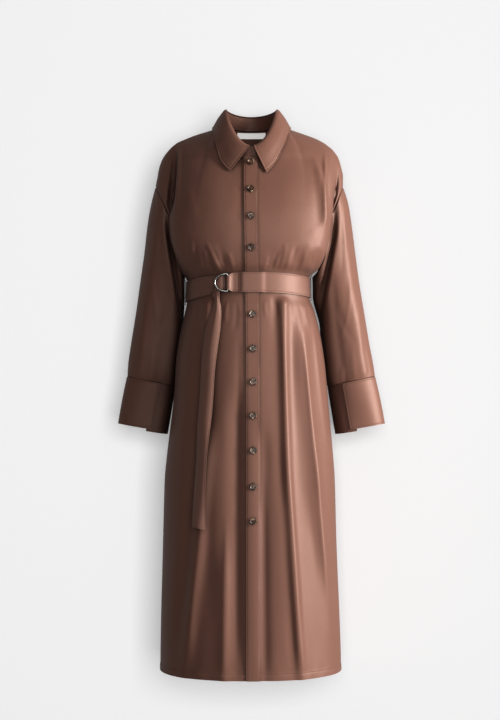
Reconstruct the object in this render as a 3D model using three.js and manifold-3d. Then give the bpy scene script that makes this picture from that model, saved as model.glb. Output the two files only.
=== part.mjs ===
// Long-sleeved shirt dress in brown satin, filled out as it is worn, with its belt.
// Millimetres, +Z up. The front faces -Y and the dress's own left side is +X.
// The origin is level with the high points of the shoulders, in the middle of the neck.

import * as THREE from "three";
import { mergeVertices } from "three/addons/utils/BufferGeometryUtils.js";
import Module from "manifold-3d";

const wasm = await Module();
wasm.setup();

// Cloth and seams
const clothWall = 1.3;
const doubleWall = 1.8; // belt, collar and cuffs are double cloth
const seamGap = 0.3;

// Heights
const hemHeight = -1220;
const shoulderHeight = -2;
const frontNeckHeight = -86;
const rollHeight = 31; // top edge of the collar stand at the sides

// Neck
const neckHalfWidth = 64;
const neckCentreY = 4;
const frontNeckDepth = 88;
const backNeckDepth = 68;
const neckDropPower = 1.6; // how late the front neck line drops, round from the shoulder
const backNeckDrop = 3;
const rollHalfWidth = 57;
const rollCentreY = -6;
const frontRollDepth = 74;
const backRollDepth = 72;
const frontRollDrop = 91;
const backRollDrop = 6;
const standFoot = 0.06; // share of the stand's height at which its lower edge clears the neck seam
const standLapAngle = 12;
const standLapOut = { from: -1, to: 0.8 }; // the two ends pass each other at the centre front

// Belt line: height of the belt's middle at the centre front, the sides and the centre back
const beltWidth = 45;
const beltLine = { front: -358.5, leftSide: -367, rightSide: -377, back: -363 };
const tableBeltHeight = -366.5; // height of the belt's middle in the table of sections

// Bodice: how its rows gather towards the belt, and how late its section turns into the shoulder
const bodiceRowPower = 1.35;
const shoulderPower = 3.2;

// Plan of the body: superellipse power, and where the cloth turns back to the armhole
const planPower = 2.3;
const neckShare = 0.34;
const turnShare = { left: 0.82, right: 0.72 };
const turnDepth = { front: 58, back: 52 };
const turnLean = 0.3; // share by which the turn's depth falls towards the shoulder
const turnLeave = 9; // pull of the turn's curve at its start and at the armhole
const turnArrive = { least: 4, more: 24 };
const backTuck = 7; // the back's fold stands this much further in than the front's

// Heights over which the folds rise beside the belt, and fade in and out down the skirt
const foldClearance = 2;
const foldRise = 20;
const foldFadeIn = 110;
const foldFadeOut = 160;
const kneeHeight = -875;

// Armhole: its middle's depth, and the share of the bodice below it
const armholeCentreY = 8;
const underarmShare = 0.22;

// Front band and buttons
const bandHalfWidth = 15;
const bandLift = 1.7;
const bandDrift = { neck: -2, hem: 3.5 };
const frontCut = { left: -8.4, right: -9.2 }; // where each front ends under the band, from its middle
const buttonRadius = 7.4;
const buttonHeight = 2.8;
const buttonHeights = [-95, -157, -216, -284, -429, -504, -576, -649, -724, -802, -876];

// Half widths and depths of the body at each height; left is the +X side
const bodySections = [
  { z: -1220, left: 201, right: 205, front: 150, back: 143 },
  { z: -1070, left: 196, right: 202, front: 146, back: 139 },
  { z: -934, left: 191, right: 199, front: 142, back: 134 },
  { z: -799, left: 187, right: 195, front: 138, back: 129 },
  { z: -731, left: 182, right: 188, front: 135, back: 126 },
  { z: -664, left: 176, right: 180, front: 132, back: 122 },
  { z: -596, left: 170, right: 173, front: 129, back: 118 },
  { z: -529, left: 163, right: 169, front: 125, back: 113 },
  { z: -461, left: 152, right: 159, front: 119, back: 106 },
  { z: -416, left: 140, right: 150, front: 114, back: 100 },
  { z: -388, left: 130, right: 145, front: 109, back: 96 },
  { z: -345, left: 129, right: 144, front: 109, back: 95 },
  { z: -325, left: 149, right: 157, front: 117, back: 101 },
  { z: -300, left: 161, right: 167, front: 122, back: 105 },
  { z: -254, left: 172, right: 180, front: 126, back: 109 },
  { z: -218, left: 177, right: 183, front: 125, back: 111 },
  { z: -169, left: 184, right: 179, front: 118, back: 111 },
  { z: -133, left: 190, right: 174, front: 109, back: 108 },
  { z: -84, left: 196, right: 166, front: 92, back: 100 },
];

// Shoulder seam from the neck to the dropped armhole
const shoulderSeam = [
  { share: 0, left: 64, right: 64, z: -2 },
  { share: 0.16, left: 91, right: 91, z: -11.5 },
  { share: 0.32, left: 118, right: 122, z: -20.5 },
  { share: 0.45, left: 143, right: 146, z: -29.5 },
  { share: 0.56, left: 161, right: 167, z: -38.5 },
  { share: 0.64, left: 174, right: 179, z: -47.5 },
  { share: 0.71, left: 185, right: 188, z: -57 },
  { share: 0.8, left: 196, right: 200, z: -74 },
  { share: 0.88, left: 202, right: 208, z: -95 },
  { share: 0.94, left: 206, right: 212, z: -114 },
  { share: 1, left: 206, right: 216, z: -138 },
];

// Long folds of the front skirt: x at the belt, the knee and the hem, and where each starts and ends
const frontSkirtFolds = [
  { belt: 70, knee: 83, hem: 111, width: 11, rise: 8, top: -380, bottom: -1300 },
  { belt: 100, knee: 148, hem: 186, width: 12, rise: 7, top: -400, bottom: -1090 },
  { belt: 88, knee: 118, hem: 152, width: 17, rise: -4, top: -440, bottom: -1300 },
  { belt: 24, knee: 29, hem: 31, width: 15, rise: -4, top: -640, bottom: -1300 },
  { belt: -30, knee: -32, hem: -34, width: 18, rise: -5, top: -560, bottom: -1260 },
  { belt: -46, knee: -58, hem: -60, width: 16, rise: 3, top: -900, bottom: -1400 },
  { belt: -70, knee: -108, hem: -148, width: 13, rise: 6, top: -640, bottom: -1280 },
  { belt: -112, knee: -136, hem: -176, width: 14, rise: -4, top: -420, bottom: -1200 },
  { belt: -98, knee: -116, hem: -130, width: 9, rise: 4, top: -380, bottom: -560 },
  { belt: 50, knee: 56, hem: 60, width: 8, rise: -3, top: -380, bottom: -520 },
];

// Gathers of the front above the belt: x at their upper end and at the belt
const frontBodiceFolds = [
  { upper: -86, belt: -65, width: 8, rise: 6, top: -262 },
  { upper: -70, belt: -52, width: 7, rise: -4, top: -275 },
  { upper: -138, belt: -128, width: 9, rise: -4, top: -240 },
  { upper: -116, belt: -104, width: 9, rise: 4, top: -270 },
  { upper: 48, belt: 31, width: 9, rise: -5, top: -275 },
  { upper: 88, belt: 73, width: 9, rise: 6, top: -258 },
  { upper: 128, belt: 118, width: 9, rise: 5, top: -255 },
  { upper: 106, belt: 95, width: 8, rise: -3, top: -270 },
];

// Crease of the left chest that hangs from the shoulder beside the armhole
const chestCrease = { x: 158, width: 8, rise: 5, top: -70, bottom: -262 };

const backSkirtFolds = [
  { belt: -104, knee: -132, hem: -150, width: 13, rise: 7, top: -380, bottom: -1300 },
  { belt: -62, knee: -70, hem: -84, width: 15, rise: -5, top: -400, bottom: -1300 },
  { belt: -30, knee: -26, hem: -22, width: 13, rise: 6, top: -380, bottom: -1180 },
  { belt: 12, knee: 22, hem: 34, width: 16, rise: -5, top: -400, bottom: -1300 },
  { belt: 48, knee: 66, hem: 88, width: 12, rise: 7, top: -380, bottom: -1300 },
  { belt: 96, knee: 122, hem: 140, width: 15, rise: -5, top: -390, bottom: -1240 },
];

const backBodiceFolds = [
  { upper: -92, belt: -78, width: 9, rise: 6, top: -262 },
  { upper: -50, belt: -40, width: 9, rise: -4, top: -272 },
  { upper: -12, belt: -8, width: 9, rise: 5, top: -258 },
  { upper: 34, belt: 26, width: 9, rise: -4, top: -275 },
  { upper: 70, belt: 58, width: 9, rise: 6, top: -260 },
  { upper: 116, belt: 100, width: 9, rise: 5, top: -265 },
];

// Sleeve rings: outer and inner points, middle and half depth; left is the +X sleeve
const sleeveRings = [
  { outerZ: -138, outerLeft: 206, outerRight: 216, innerZ: -300, inner: 139, centreY: 8, depth: 58 },
  { outerZ: -176, outerLeft: 218, outerRight: 226, innerZ: -330, inner: 150, centreY: 14, depth: 56 },
  { outerZ: -222, outerLeft: 226, outerRight: 235, innerZ: -358, inner: 152, centreY: 20, depth: 55 },
  { outerZ: -284, outerLeft: 235, outerRight: 243, innerZ: -396, inner: 153, centreY: 29, depth: 54 },
  { outerZ: -352, outerLeft: 245, outerRight: 253, innerZ: -442, inner: 155, centreY: 37, depth: 52 },
  { outerZ: -424, outerLeft: 257, outerRight: 263, innerZ: -490, inner: 158, centreY: 42, depth: 50 },
  { outerZ: -492, outerLeft: 268, outerRight: 274, innerZ: -536, inner: 163, centreY: 44, depth: 47 },
  { outerZ: -540, outerLeft: 277, outerRight: 281, innerZ: -570, inner: 167, centreY: 44, depth: 42 },
  { outerZ: -566, outerLeft: 281, outerRight: 283, innerZ: -588, inner: 172, centreY: 43, depth: 36 },
];
const sleeveClearance = 3.2;

// Folds that run down each sleeve: angle round the ring, width in degrees and height
const sleeveFolds = [
  { angle: 60, width: 13, rise: 4, from: 0.1, to: 1.05 },
  { angle: 105, width: 12, rise: -4, from: 0.25, to: 1.1 },
  { angle: 140, width: 11, rise: 3, from: 0.4, to: 1.1 },
  { angle: 232, width: 13, rise: -4, from: 0.2, to: 1.1 },
  { angle: 280, width: 14, rise: 4, from: 0.1, to: 1.1 },
  { angle: 330, width: 14, rise: -3, from: 0.35, to: 1.1 },
];

// Cuff: from the sleeve's last ring down to this one
const cuffEnd = { outerZ: -671, outer: 303.5, innerZ: -692, inner: 190, centreY: 42, depth: 31 };
const cuffSlitAngle = 112;
const cuffLapAngle = 15;
const cuffDrop = 6; // the under layer hangs this much lower

// Collar: outer edge of the fall for each side, by angle round the neck from the centre front
const collarEdgeLeft = [
  { angle: 4, x: 33, z: -119 },
  { angle: 18, x: 43, z: -108 },
  { angle: 36, x: 56, z: -91 },
  { angle: 60, x: 76, z: -47 },
  { angle: 76, x: 85, z: -22 },
  { angle: 90, x: 89, z: -6.8 },
];
const collarEdgeRight = [
  { angle: 4, x: 46, z: -114.5 },
  { angle: 15, x: 54, z: -109 },
  { angle: 34, x: 67, z: -92 },
  { angle: 60, x: 79, z: -54 },
  { angle: 76, x: 86, z: -25 },
  { angle: 90, x: 89, z: -6.8 },
];
const collarBack = [
  { angle: 90, x: 89, y: 4, z: -6.8 },
  { angle: 120, x: 80, y: 46, z: -6 },
  { angle: 150, x: 48, y: 80, z: -11 },
  { angle: 180, x: 0, y: 90, z: -14 },
];
const collarLift = 3.4;

// Section of the collar's roll: share of the fall, and how far it stands out and up
const collarRoll = [
  { share: 0, out: -1, up: 3.3 },
  { share: 0.03, out: 2.2, up: 3.3 },
  { share: 0.08, out: 4.6, up: 1.4 },
  { share: 0.18, out: 5.6, up: 0 },
  { share: 0.4, out: 5, up: 0 },
  { share: 0.75, out: 2, up: 0 },
  { share: 1, out: 0, up: 0 },
];

// Label inside the back neck
const label = { halfWidth: 33, top: -6.5, bottom: -19.5, thickness: 0.6, standOff: 1.4, columns: 6 };

// Belt: the folded end that holds the two rings, the free end and its tail
const ringWire = 2.8;
const rings = [
  { name: "ring_outer", bar: -49.9, reach: -74.5, height: 38, lift: 7, tipLift: 14 },
  { name: "ring_inner", bar: -49.9, reach: -68, height: 38, lift: 3.7, tipLift: 3.6 },
];
const beltStartX = -44;
const freeEnd = { x: -56, width: 33, narrowFrom: -58, narrowRun: 62 };
const beltClearance = 0.6;
const overBand = { half: 18, slope: 14 }; // where the belt rises over the button band

const ringShape = { sides: 6, barSteps: 4, roundSteps: 14, corner: 3, power: 0.8, least: 0.09 };

// Section of the end that is folded round the bars: x, and height above the cloth beneath
const foldSection = [
  { x: -44.4, lift: 0, half: 18 },
  { x: -50.2, lift: 0, half: 15.7 },
  { x: -52.5, lift: 0.9, half: 15.6 },
  { x: -53.6, lift: 3, half: 15.6 },
  { x: -53.6, lift: 7.4, half: 15.6 },
  { x: -52.5, lift: 9.6, half: 15.6 },
  { x: -50.2, lift: 10.5, half: 15.7 },
  { x: -47.2, lift: 10.3, half: 15.9 },
  { x: -43.5, lift: 7.4, half: 18.5 },
  { x: -39, lift: 4.8, half: 20 },
  { x: -34, lift: 4.2, half: 20.5 },
  { x: -27, lift: 4.2, half: 20.5 },
];

// Tail of the belt: middle line, width and height above the skirt; turn lays its width over
const tailStations = [
  { x: -56.5, z: -361, width: 28, turn: 90, lift: 2.9, curl: 0 },
  { x: -59.5, z: -361, width: 28, turn: 90, lift: 4.6, curl: 0 },
  { x: -62.5, z: -361, width: 28, turn: 90, lift: 6.3, curl: 0 },
  { x: -67.5, z: -361, width: 28, turn: 90, lift: 7, curl: 0 },
  { x: -72, z: -364, width: 28, turn: 78, lift: 6.8, curl: 0 },
  { x: -75.5, z: -372, width: 26, turn: 54, lift: 5.6, curl: 1 },
  { x: -75.5, z: -384, width: 20, turn: 28, lift: 6, curl: 2 },
  { x: -73.5, z: -398, width: 13, turn: 6, lift: 8, curl: 3 },
  { x: -74.5, z: -413, width: 20, turn: -2, lift: 8, curl: 5 },
  { x: -78, z: -434, width: 29, turn: -4, lift: 7.5, curl: 5 },
  { x: -84, z: -470, width: 36, turn: -5, lift: 7.5, curl: 5 },
  { x: -92, z: -540, width: 35, turn: -4, lift: 8, curl: 5 },
  { x: -96, z: -610, width: 34, turn: -3, lift: 8.5, curl: 5 },
  { x: -101, z: -680, width: 34, turn: -3, lift: 9, curl: 5 },
  { x: -105, z: -750, width: 33, turn: -4, lift: 9.5, curl: 5 },
  { x: -109, z: -820, width: 32, turn: -6, lift: 10, curl: 5 },
  { x: -112, z: -893, width: 32, turn: -8, lift: 10, curl: 5 },
];

// Thread loop that holds the belt at each side seam
const threadLoop = { width: 3, thickness: 1.2, overhang: 4, foot: 0.9, slack: 1.4 };

// Mesh density
const skirtRows = 12;
const sleeveRows = 14;
const sleeveColumns = 24; // the bodice has a row for each one round the armhole
const halfColumns = 16;

const radians = (degrees) => (degrees * Math.PI) / 180;
const lerp = (a, b, t) => a + (b - a) * t;
const clamp = (x, low, high) => Math.min(Math.max(x, low), high);
const smooth = (t) => {
  const s = clamp(t, 0, 1);
  return s * s * (3 - 2 * s);
};

// Smooth curve through one column of a table, read by its key column; it never overshoots a row
function curve(rows, key, column) {
  const keys = rows.map((row) => row[key]);
  const values = rows.map((row) => row[column]);
  const last = keys.length - 1;
  const secant = (i) => (values[i + 1] - values[i]) / (keys[i + 1] - keys[i]);
  const slopes = keys.map((_, i) => {
    if (i === 0) return secant(0);
    if (i === last) return secant(last - 1);
    const before = secant(i - 1);
    const after = secant(i);
    return before * after > 0 ? (2 * before * after) / (before + after) : 0;
  });
  return (x) => {
    let i = 0;
    while (i < last - 1 && (x - keys[i + 1]) * (keys[last] - keys[0]) > 0) i += 1;
    const step = keys[i + 1] - keys[i];
    const t = clamp((x - keys[i]) / step, 0, 1);
    const t2 = t * t;
    const t3 = t2 * t;
    return (
      values[i] * (2 * t3 - 3 * t2 + 1) +
      slopes[i] * step * (t3 - 2 * t2 + t) +
      values[i + 1] * (3 * t2 - 2 * t3) +
      slopes[i + 1] * step * (t3 - t2)
    );
  };
}

const bodyWidth = { left: curve(bodySections, "z", "left"), right: curve(bodySections, "z", "right") };
const bodyDepth = { front: curve(bodySections, "z", "front"), back: curve(bodySections, "z", "back") };
const shoulderX = {
  left: curve(shoulderSeam, "share", "left"),
  right: curve(shoulderSeam, "share", "right"),
};
const shoulderZ = curve(shoulderSeam, "share", "z");

const sideOf = (u) => (u < 0 ? "right" : "left");
const faceSign = { front: -1, back: 1 };

// Height of the belt's middle, by share of the way from the centre to the side seam
function beltHeight(face, u) {
  const side = sideOf(u) === "left" ? beltLine.leftSide : beltLine.rightSide;
  return lerp(beltLine[face], side, Math.sin(radians(90 * Math.min(Math.abs(u), 1))) ** 2);
}

// Place of a long fold at height z, on the parabola through its three given points
function foldPlace(fold, z) {
  const t = (z - beltLine.front) / (hemHeight - beltLine.front);
  const k = (kneeHeight - beltLine.front) / (hemHeight - beltLine.front);
  const bend = (fold.hem - fold.belt - (fold.knee - fold.belt) / k) / (1 - k);
  const slope = fold.hem - fold.belt - bend;
  return fold.belt + slope * t + bend * t * t;
}

const bump = (distance, width) => Math.exp(-((distance / width) ** 2));

// Height of the folds of the skirt and the bodice over the plain form
function foldHeight(face, x, z, beltZ) {
  const fromBelt = Math.abs(z - beltZ) - beltWidth / 2;
  const free = smooth((fromBelt - foldClearance) / foldRise);
  let sum = 0;
  if (z < beltZ) {
    for (const fold of face === "front" ? frontSkirtFolds : backSkirtFolds) {
      const start = fold.top > -400 ? free : smooth((fold.top - z) / foldFadeIn);
      const end = smooth((z - fold.bottom) / foldFadeOut);
      sum += fold.rise * start * end * bump(x - foldPlace(fold, z), fold.width);
    }
    return sum;
  }
  for (const fold of face === "front" ? frontBodiceFolds : backBodiceFolds) {
    const t = clamp((z - beltZ) / (fold.top - beltZ), 0, 1);
    const place = lerp(fold.belt, fold.upper, t);
    sum += fold.rise * free * (1 - smooth(t)) * bump(x - place, fold.width);
  }
  if (face === "front") {
    const strength = smooth((chestCrease.top - z) / 50) * smooth((z - chestCrease.bottom) / 60);
    sum += chestCrease.rise * strength * bump(x - chestCrease.x, chestCrease.width);
  }
  return sum;
}

// Point of the plain section at height z; q runs from the centre line to the widest place
function sectionPoint(face, side, q, z, turnY, beltZ) {
  const power = 2 / planPower;
  const tuck = face === "back" ? backTuck * smooth((z - beltZ - beltWidth / 2) / 40) : 0;
  const tableZ = z + (tableBeltHeight - beltZ) * bump(z - beltZ, 70);
  const half = bodyWidth[side](tableZ) - tuck;
  const depth = bodyDepth[face](tableZ);
  const across = Math.sin(radians(90 * q)) ** power;
  const along = Math.max(Math.cos(radians(90 * q)), 0) ** power;
  const sign = side === "left" ? 1 : -1;
  const x = sign * half * across;
  const y = faceSign[face] * (turnY + (depth - turnY) * along);
  const normalX = (across ** (planPower - 1) * sign) / half;
  const normalY = (along ** (planPower - 1) * faceSign[face]) / depth;
  const length = Math.hypot(normalX, normalY);
  const rise = foldHeight(face, x, z, beltZ) * smooth((1 - q) * 12);
  return new THREE.Vector3(x + (normalX / length) * rise, y + (normalY / length) * rise, z);
}

// Point of the neck seam, by angle round the neck from the centre front
function neckPoint(angle) {
  const c = Math.cos(radians(angle));
  const s = Math.sin(radians(angle));
  const depth = c > 0 ? frontNeckDepth : backNeckDepth;
  const frontDrop = shoulderHeight - frontNeckHeight;
  const drop = c > 0 ? frontDrop * c ** neckDropPower : backNeckDrop * c * c;
  return new THREE.Vector3(neckHalfWidth * s, neckCentreY - depth * c, shoulderHeight - drop);
}

// Top edge of a front or the back: the neck seam, then the shoulder seam
function topPoint(face, side, share) {
  if (share <= neckShare) {
    const angle = (90 * share) / neckShare;
    const point = neckPoint(face === "front" ? angle : 180 - angle);
    if (side === "right") point.x = -point.x;
    return point;
  }
  const t = (share - neckShare) / (1 - neckShare);
  const sign = side === "left" ? 1 : -1;
  const y = lerp(neckCentreY, armholeCentreY, t) + faceSign[face] * 0.6 * seamGap;
  return new THREE.Vector3(sign * shoulderX[side](t), y, shoulderZ(t));
}

// Ring of a sleeve, by share of the way from the armhole to the cuff
const ringCurves = {};
for (const column of ["outerZ", "outerLeft", "outerRight", "innerZ", "inner", "centreY", "depth"]) {
  const rows = sleeveRings.map((ring, i) => ({ place: i / (sleeveRings.length - 1), ...ring }));
  ringCurves[column] = curve(rows, "place", column);
}

function sleeveRing(side, place) {
  return {
    outerZ: ringCurves.outerZ(place),
    outer: ringCurves[side === "left" ? "outerLeft" : "outerRight"](place),
    innerZ: ringCurves.innerZ(place),
    inner: ringCurves.inner(place),
    centreY: ringCurves.centreY(place),
    depth: ringCurves.depth(place),
  };
}

// Point of a ring by angle from its outer side, positive over the front
function ringPoint(side, ring, angle, offset = 0) {
  const c = Math.cos(radians(angle));
  const s = Math.sin(radians(angle));
  const half = Math.hypot(ring.outer - ring.inner, ring.outerZ - ring.innerZ) / 2;
  const round = (value) => Math.sign(value) * Math.abs(value) ** 0.92;
  const shareX = round(c) * (1 + offset / half);
  const x = (ring.outer + ring.inner) / 2 + ((ring.outer - ring.inner) / 2) * shareX;
  const z = (ring.outerZ + ring.innerZ) / 2 + ((ring.outerZ - ring.innerZ) / 2) * shareX;
  const y = ring.centreY - round(s) * (ring.depth + offset);
  return new THREE.Vector3(side === "left" ? x : -x, y, z);
}

// Point of the armhole, by angle from the shoulder, positive over the front
function armholePoint(side, angle) {
  return ringPoint(side, sleeveRing(side, 0), angle);
}

// Edge of a panel under the arm and round the armhole, by share of the bodice's height
function sideEdgePoint(face, side, b) {
  const seam = new THREE.Vector3(0, faceSign[face] * 0.6 * seamGap, 0);
  if (b >= underarmShare) {
    const angle = 180 * (1 - (b - underarmShare) / (1 - underarmShare));
    return armholePoint(side, -faceSign[face] * angle).add(seam);
  }
  const foot = beltHeight(face, side === "left" ? 1 : -1) + beltWidth / 2;
  const waist = sectionPoint(face, side, 1, foot, 0, foot - beltWidth / 2);
  const t = b / underarmShare;
  return waist.lerp(armholePoint(side, 180), t).add(seam);
}

// Point of the bodice: u from seam to seam, b from the belt up to the neck or shoulder seam
function bodicePoint(face, u, b) {
  const side = sideOf(u);
  const share = Math.abs(u);
  const shareTurn = lerp(1, turnShare[side], smooth(b / 0.13));
  const inFront = Math.min(share, shareTurn);
  const beltZ = beltHeight(face, u);
  const foot = beltZ + beltWidth / 2;
  const toShoulder = b ** shoulderPower;
  const target = topPoint(face, side, Math.min(share, turnShare[side]));
  const z = lerp(foot, target.z, 1 - (1 - b) ** bodiceRowPower);
  const turnY = turnDepth[face] * smooth(b / 0.15) * (1 - turnLean * b);
  const point = sectionPoint(face, side, inFront / shareTurn, z, turnY, beltZ);
  point.x = lerp(point.x, target.x, toShoulder);
  point.y = lerp(point.y, target.y, toShoulder);
  if (share <= shareTurn) return point;
  const t = (share - shareTurn) / (1 - shareTurn);
  const low = smooth((0.6 - b) / 0.4) * smooth(b / 0.1);
  const hug = turnArrive.least + turnArrive.more * low;
  const turnAt = (from, to) => {
    const leave = from.clone();
    leave.y -= faceSign[face] * turnLeave;
    const arrive = to.clone();
    arrive.y += faceSign[face] * hug;
    const arc = from.clone().multiplyScalar((1 - t) ** 3);
    arc.addScaledVector(leave, 3 * t * (1 - t) ** 2);
    arc.addScaledVector(arrive, 3 * t * t * (1 - t));
    return arc.addScaledVector(to, t ** 3);
  };
  const atTop = turnAt(target, sideEdgePoint(face, side, 1));
  const arc = turnAt(point, sideEdgePoint(face, side, b));
  return arc.addScaledVector(topPoint(face, side, share).sub(atTop), toShoulder);
}

// Point of the whole body: v is 0 at the hem, 1 and 2 at the belt's edges and 3 at the top
function bodyPoint(face, u, v) {
  if (v > 2) return bodicePoint(face, u, v - 2);
  const middle = beltHeight(face, u);
  const low = middle - beltWidth / 2;
  const z = v < 1 ? lerp(hemHeight, low, v) : low + beltWidth * (v - 1);
  return sectionPoint(face, sideOf(u), Math.min(Math.abs(u), 1), z, 0, middle);
}

// Outward direction of the body's cloth
function bodyNormal(face, u, v) {
  const step = 0.004;
  const low = Math.max(v - step, 0);
  const high = Math.min(v + step, 3);
  const across = bodyPoint(face, u + step, v).sub(bodyPoint(face, u - step, v));
  const up = bodyPoint(face, u, high).sub(bodyPoint(face, u, low));
  return across.cross(up).multiplyScalar(-faceSign[face]).normalize();
}

function liftedPoint(face, u, v, lift) {
  return bodyPoint(face, u, v).addScaledVector(bodyNormal(face, u, v), lift);
}

// Share u at which the body reaches x on the row v
function shareAt(face, x, v) {
  let low = -0.7;
  let high = 0.7;
  for (let i = 0; i < 40; i += 1) {
    const middle = (low + high) / 2;
    if (bodyPoint(face, middle, v).x < x) low = middle;
    else high = middle;
  }
  return (low + high) / 2;
}

// Shares u and v at which the body passes x and z
function placeOn(face, x, z) {
  let low = 0;
  let high = 3;
  for (let i = 0; i < 40; i += 1) {
    const middle = (low + high) / 2;
    if (bodyPoint(face, shareAt(face, x, middle), middle).z < z) low = middle;
    else high = middle;
  }
  const v = (low + high) / 2;
  return { u: shareAt(face, x, v), v };
}

const bandMiddle = (z) => lerp(bandDrift.neck, bandDrift.hem, smooth((-86 - z) / 500));

// Rows of the body, from the hem to the top
const bodyRows = [];
for (let i = 0; i < skirtRows; i += 1) bodyRows.push(1 - (1 - i / skirtRows) ** 1.25);
bodyRows.push(1, 1.5, 2);
bodyRows.push(2 + underarmShare / 2);
for (let i = 0; i <= sleeveColumns / 2; i += 1) {
  bodyRows.push(2 + lerp(underarmShare, 1, i / (sleeveColumns / 2)));
}

// Closed solid from a grid of outer points, one row after another, and its thickness; grow
// moves both of its faces outward
function gridSolid(grid, thickness, { closed = false, flip = false, square = null, grow = 0 } = {}) {
  const rows = grid.length;
  const columns = grid[0].length;
  const wrap = (j) => (closed ? (j + columns) % columns : clamp(j, 0, columns - 1));
  const at = (i, j) => grid[clamp(i, 0, rows - 1)][wrap(j)];
  const points = [];
  const inner = [];
  for (let i = 0; i < rows; i += 1) {
    for (let j = 0; j < columns; j += 1) {
      const across = at(i, j + 1).clone().sub(at(i, j - 1));
      const along = at(i + 1, j).clone().sub(at(i - 1, j));
      const normal = across.cross(along).normalize().multiplyScalar(flip ? -1 : 1);
      if (square) square(normal, i, j);
      points.push(at(i, j).clone().addScaledVector(normal, grow));
      inner.push(at(i, j).clone().addScaledVector(normal, -thickness - grow));
    }
  }
  const vertices = [...points, ...inner];
  const under = rows * columns;
  const index = [];
  const quad = (a, b, c, d) => {
    if (flip) index.push(a, c, b, a, d, c);
    else index.push(a, b, c, a, c, d);
  };
  const lastColumn = closed ? columns : columns - 1;
  for (let i = 0; i < rows - 1; i += 1) {
    for (let j = 0; j < lastColumn; j += 1) {
      const next = (j + 1) % columns;
      const a = i * columns + j;
      const b = i * columns + next;
      quad(a, b, b + columns, a + columns);
      quad(under + a, under + a + columns, under + b + columns, under + b);
    }
  }
  for (let j = 0; j < lastColumn; j += 1) {
    const next = (j + 1) % columns;
    const top = (rows - 1) * columns;
    quad(under + j, under + next, next, j);
    quad(top + j, top + next, under + top + next, under + top + j);
  }
  if (!closed) {
    for (let i = 0; i < rows - 1; i += 1) {
      const a = i * columns;
      const b = a + columns - 1;
      quad(a, a + columns, under + a + columns, under + a);
      quad(b + columns, b, under + b, under + b + columns);
    }
  }
  return solidFrom(vertices, index);
}

function solidFrom(vertices, index) {
  const geometry = new THREE.BufferGeometry();
  geometry.setAttribute(
    "position",
    new THREE.Float32BufferAttribute(vertices.flatMap((p) => [p.x, p.y, p.z]), 3),
  );
  geometry.setIndex(index);
  geometry.computeVertexNormals();
  return geometry;
}

// Materials
const satin = new THREE.MeshStandardMaterial({ color: 0x7d5748, roughness: 0.45, metalness: 0 });
const metal = new THREE.MeshStandardMaterial({ color: 0xb9b4ae, roughness: 0.2, metalness: 1 });
const horn = new THREE.MeshStandardMaterial({ color: 0x4a3528, roughness: 0.25, metalness: 0 });
const whiteSatin = new THREE.MeshStandardMaterial({ color: 0xe6e2dc, roughness: 0.4, metalness: 0 });

const dress = new THREE.Group();

function addPiece(name, geometry, material) {
  const mesh = new THREE.Mesh(geometry, material);
  mesh.name = name;
  dress.add(mesh);
  return mesh;
}

function asManifold(geometry) {
  const plain = new THREE.BufferGeometry();
  plain.setAttribute("position", geometry.getAttribute("position"));
  plain.setIndex(geometry.getIndex());
  const merged = mergeVertices(plain, 1e-3);
  const vertProperties = new Float32Array(merged.getAttribute("position").array);
  const triVerts = new Uint32Array(merged.getIndex().array);
  return new wasm.Manifold(new wasm.Mesh({ numProp: 3, vertProperties, triVerts }));
}

// Largest body that is left of a solid once the others are cut from it
function cutBy(geometry, cutters) {
  let solid = asManifold(geometry);
  for (const cutter of cutters) solid = solid.subtract(asManifold(cutter));
  const bodies = solid.decompose();
  const largest = bodies.reduce((a, b) => (a.volume() > b.volume() ? a : b));
  const mesh = largest.getMesh();
  const cut = new THREE.BufferGeometry();
  cut.setAttribute("position", new THREE.BufferAttribute(mesh.vertProperties, 3));
  cut.setIndex(new THREE.BufferAttribute(mesh.triVerts, 1));
  cut.computeVertexNormals();
  return cut;
}

// Fronts and back: where two panels meet at a seam, both walls stand square to it
const underarmRow = bodyRows.indexOf(2 + underarmShare);
const topRow = bodyRows.length - 1;
const grownPanels = { left: [], right: [] }; // the panels with a gap round them, by armhole

function squareAtSeams(edgeColumns, neckColumns) {
  return (normal, i, j) => {
    const atSide = edgeColumns.includes(j) && i <= underarmRow;
    if (atSide || (i === topRow && neckColumns(j))) normal.setY(0).normalize();
  };
}

function addFront(name, sign) {
  const cutOffset = frontCut[sideOf(sign)];
  const grid = bodyRows.map((v) => {
    const z = bodyPoint("front", 0, v).z;
    const start = shareAt("front", bandMiddle(z) + cutOffset, v);
    const row = [];
    for (let j = 0; j <= halfColumns; j += 1) {
      row.push(bodyPoint("front", lerp(start, sign, j / halfColumns), v));
    }
    return row;
  });
  const square = squareAtSeams([halfColumns], (j) => j / halfColumns >= neckShare);
  const options = { flip: sign < 0, square };
  addPiece(name, gridSolid(grid, clothWall, options), satin);
  grownPanels[sideOf(sign)].push(gridSolid(grid, clothWall, { ...options, grow: seamGap }));
}

function addBack() {
  const grid = bodyRows.map((v) => {
    const row = [];
    for (let j = -halfColumns; j <= halfColumns; j += 1) {
      row.push(bodyPoint("back", j / halfColumns, v));
    }
    return row;
  });
  const pastNeck = (j) => Math.abs(j / halfColumns - 1) >= neckShare;
  const square = squareAtSeams([0, 2 * halfColumns], pastNeck);
  const options = { flip: true, square };
  addPiece("back", gridSolid(grid, clothWall, options), satin);
  const grown = gridSolid(grid, clothWall, { ...options, grow: seamGap });
  grownPanels.left.push(grown);
  grownPanels.right.push(grown);
}

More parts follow.
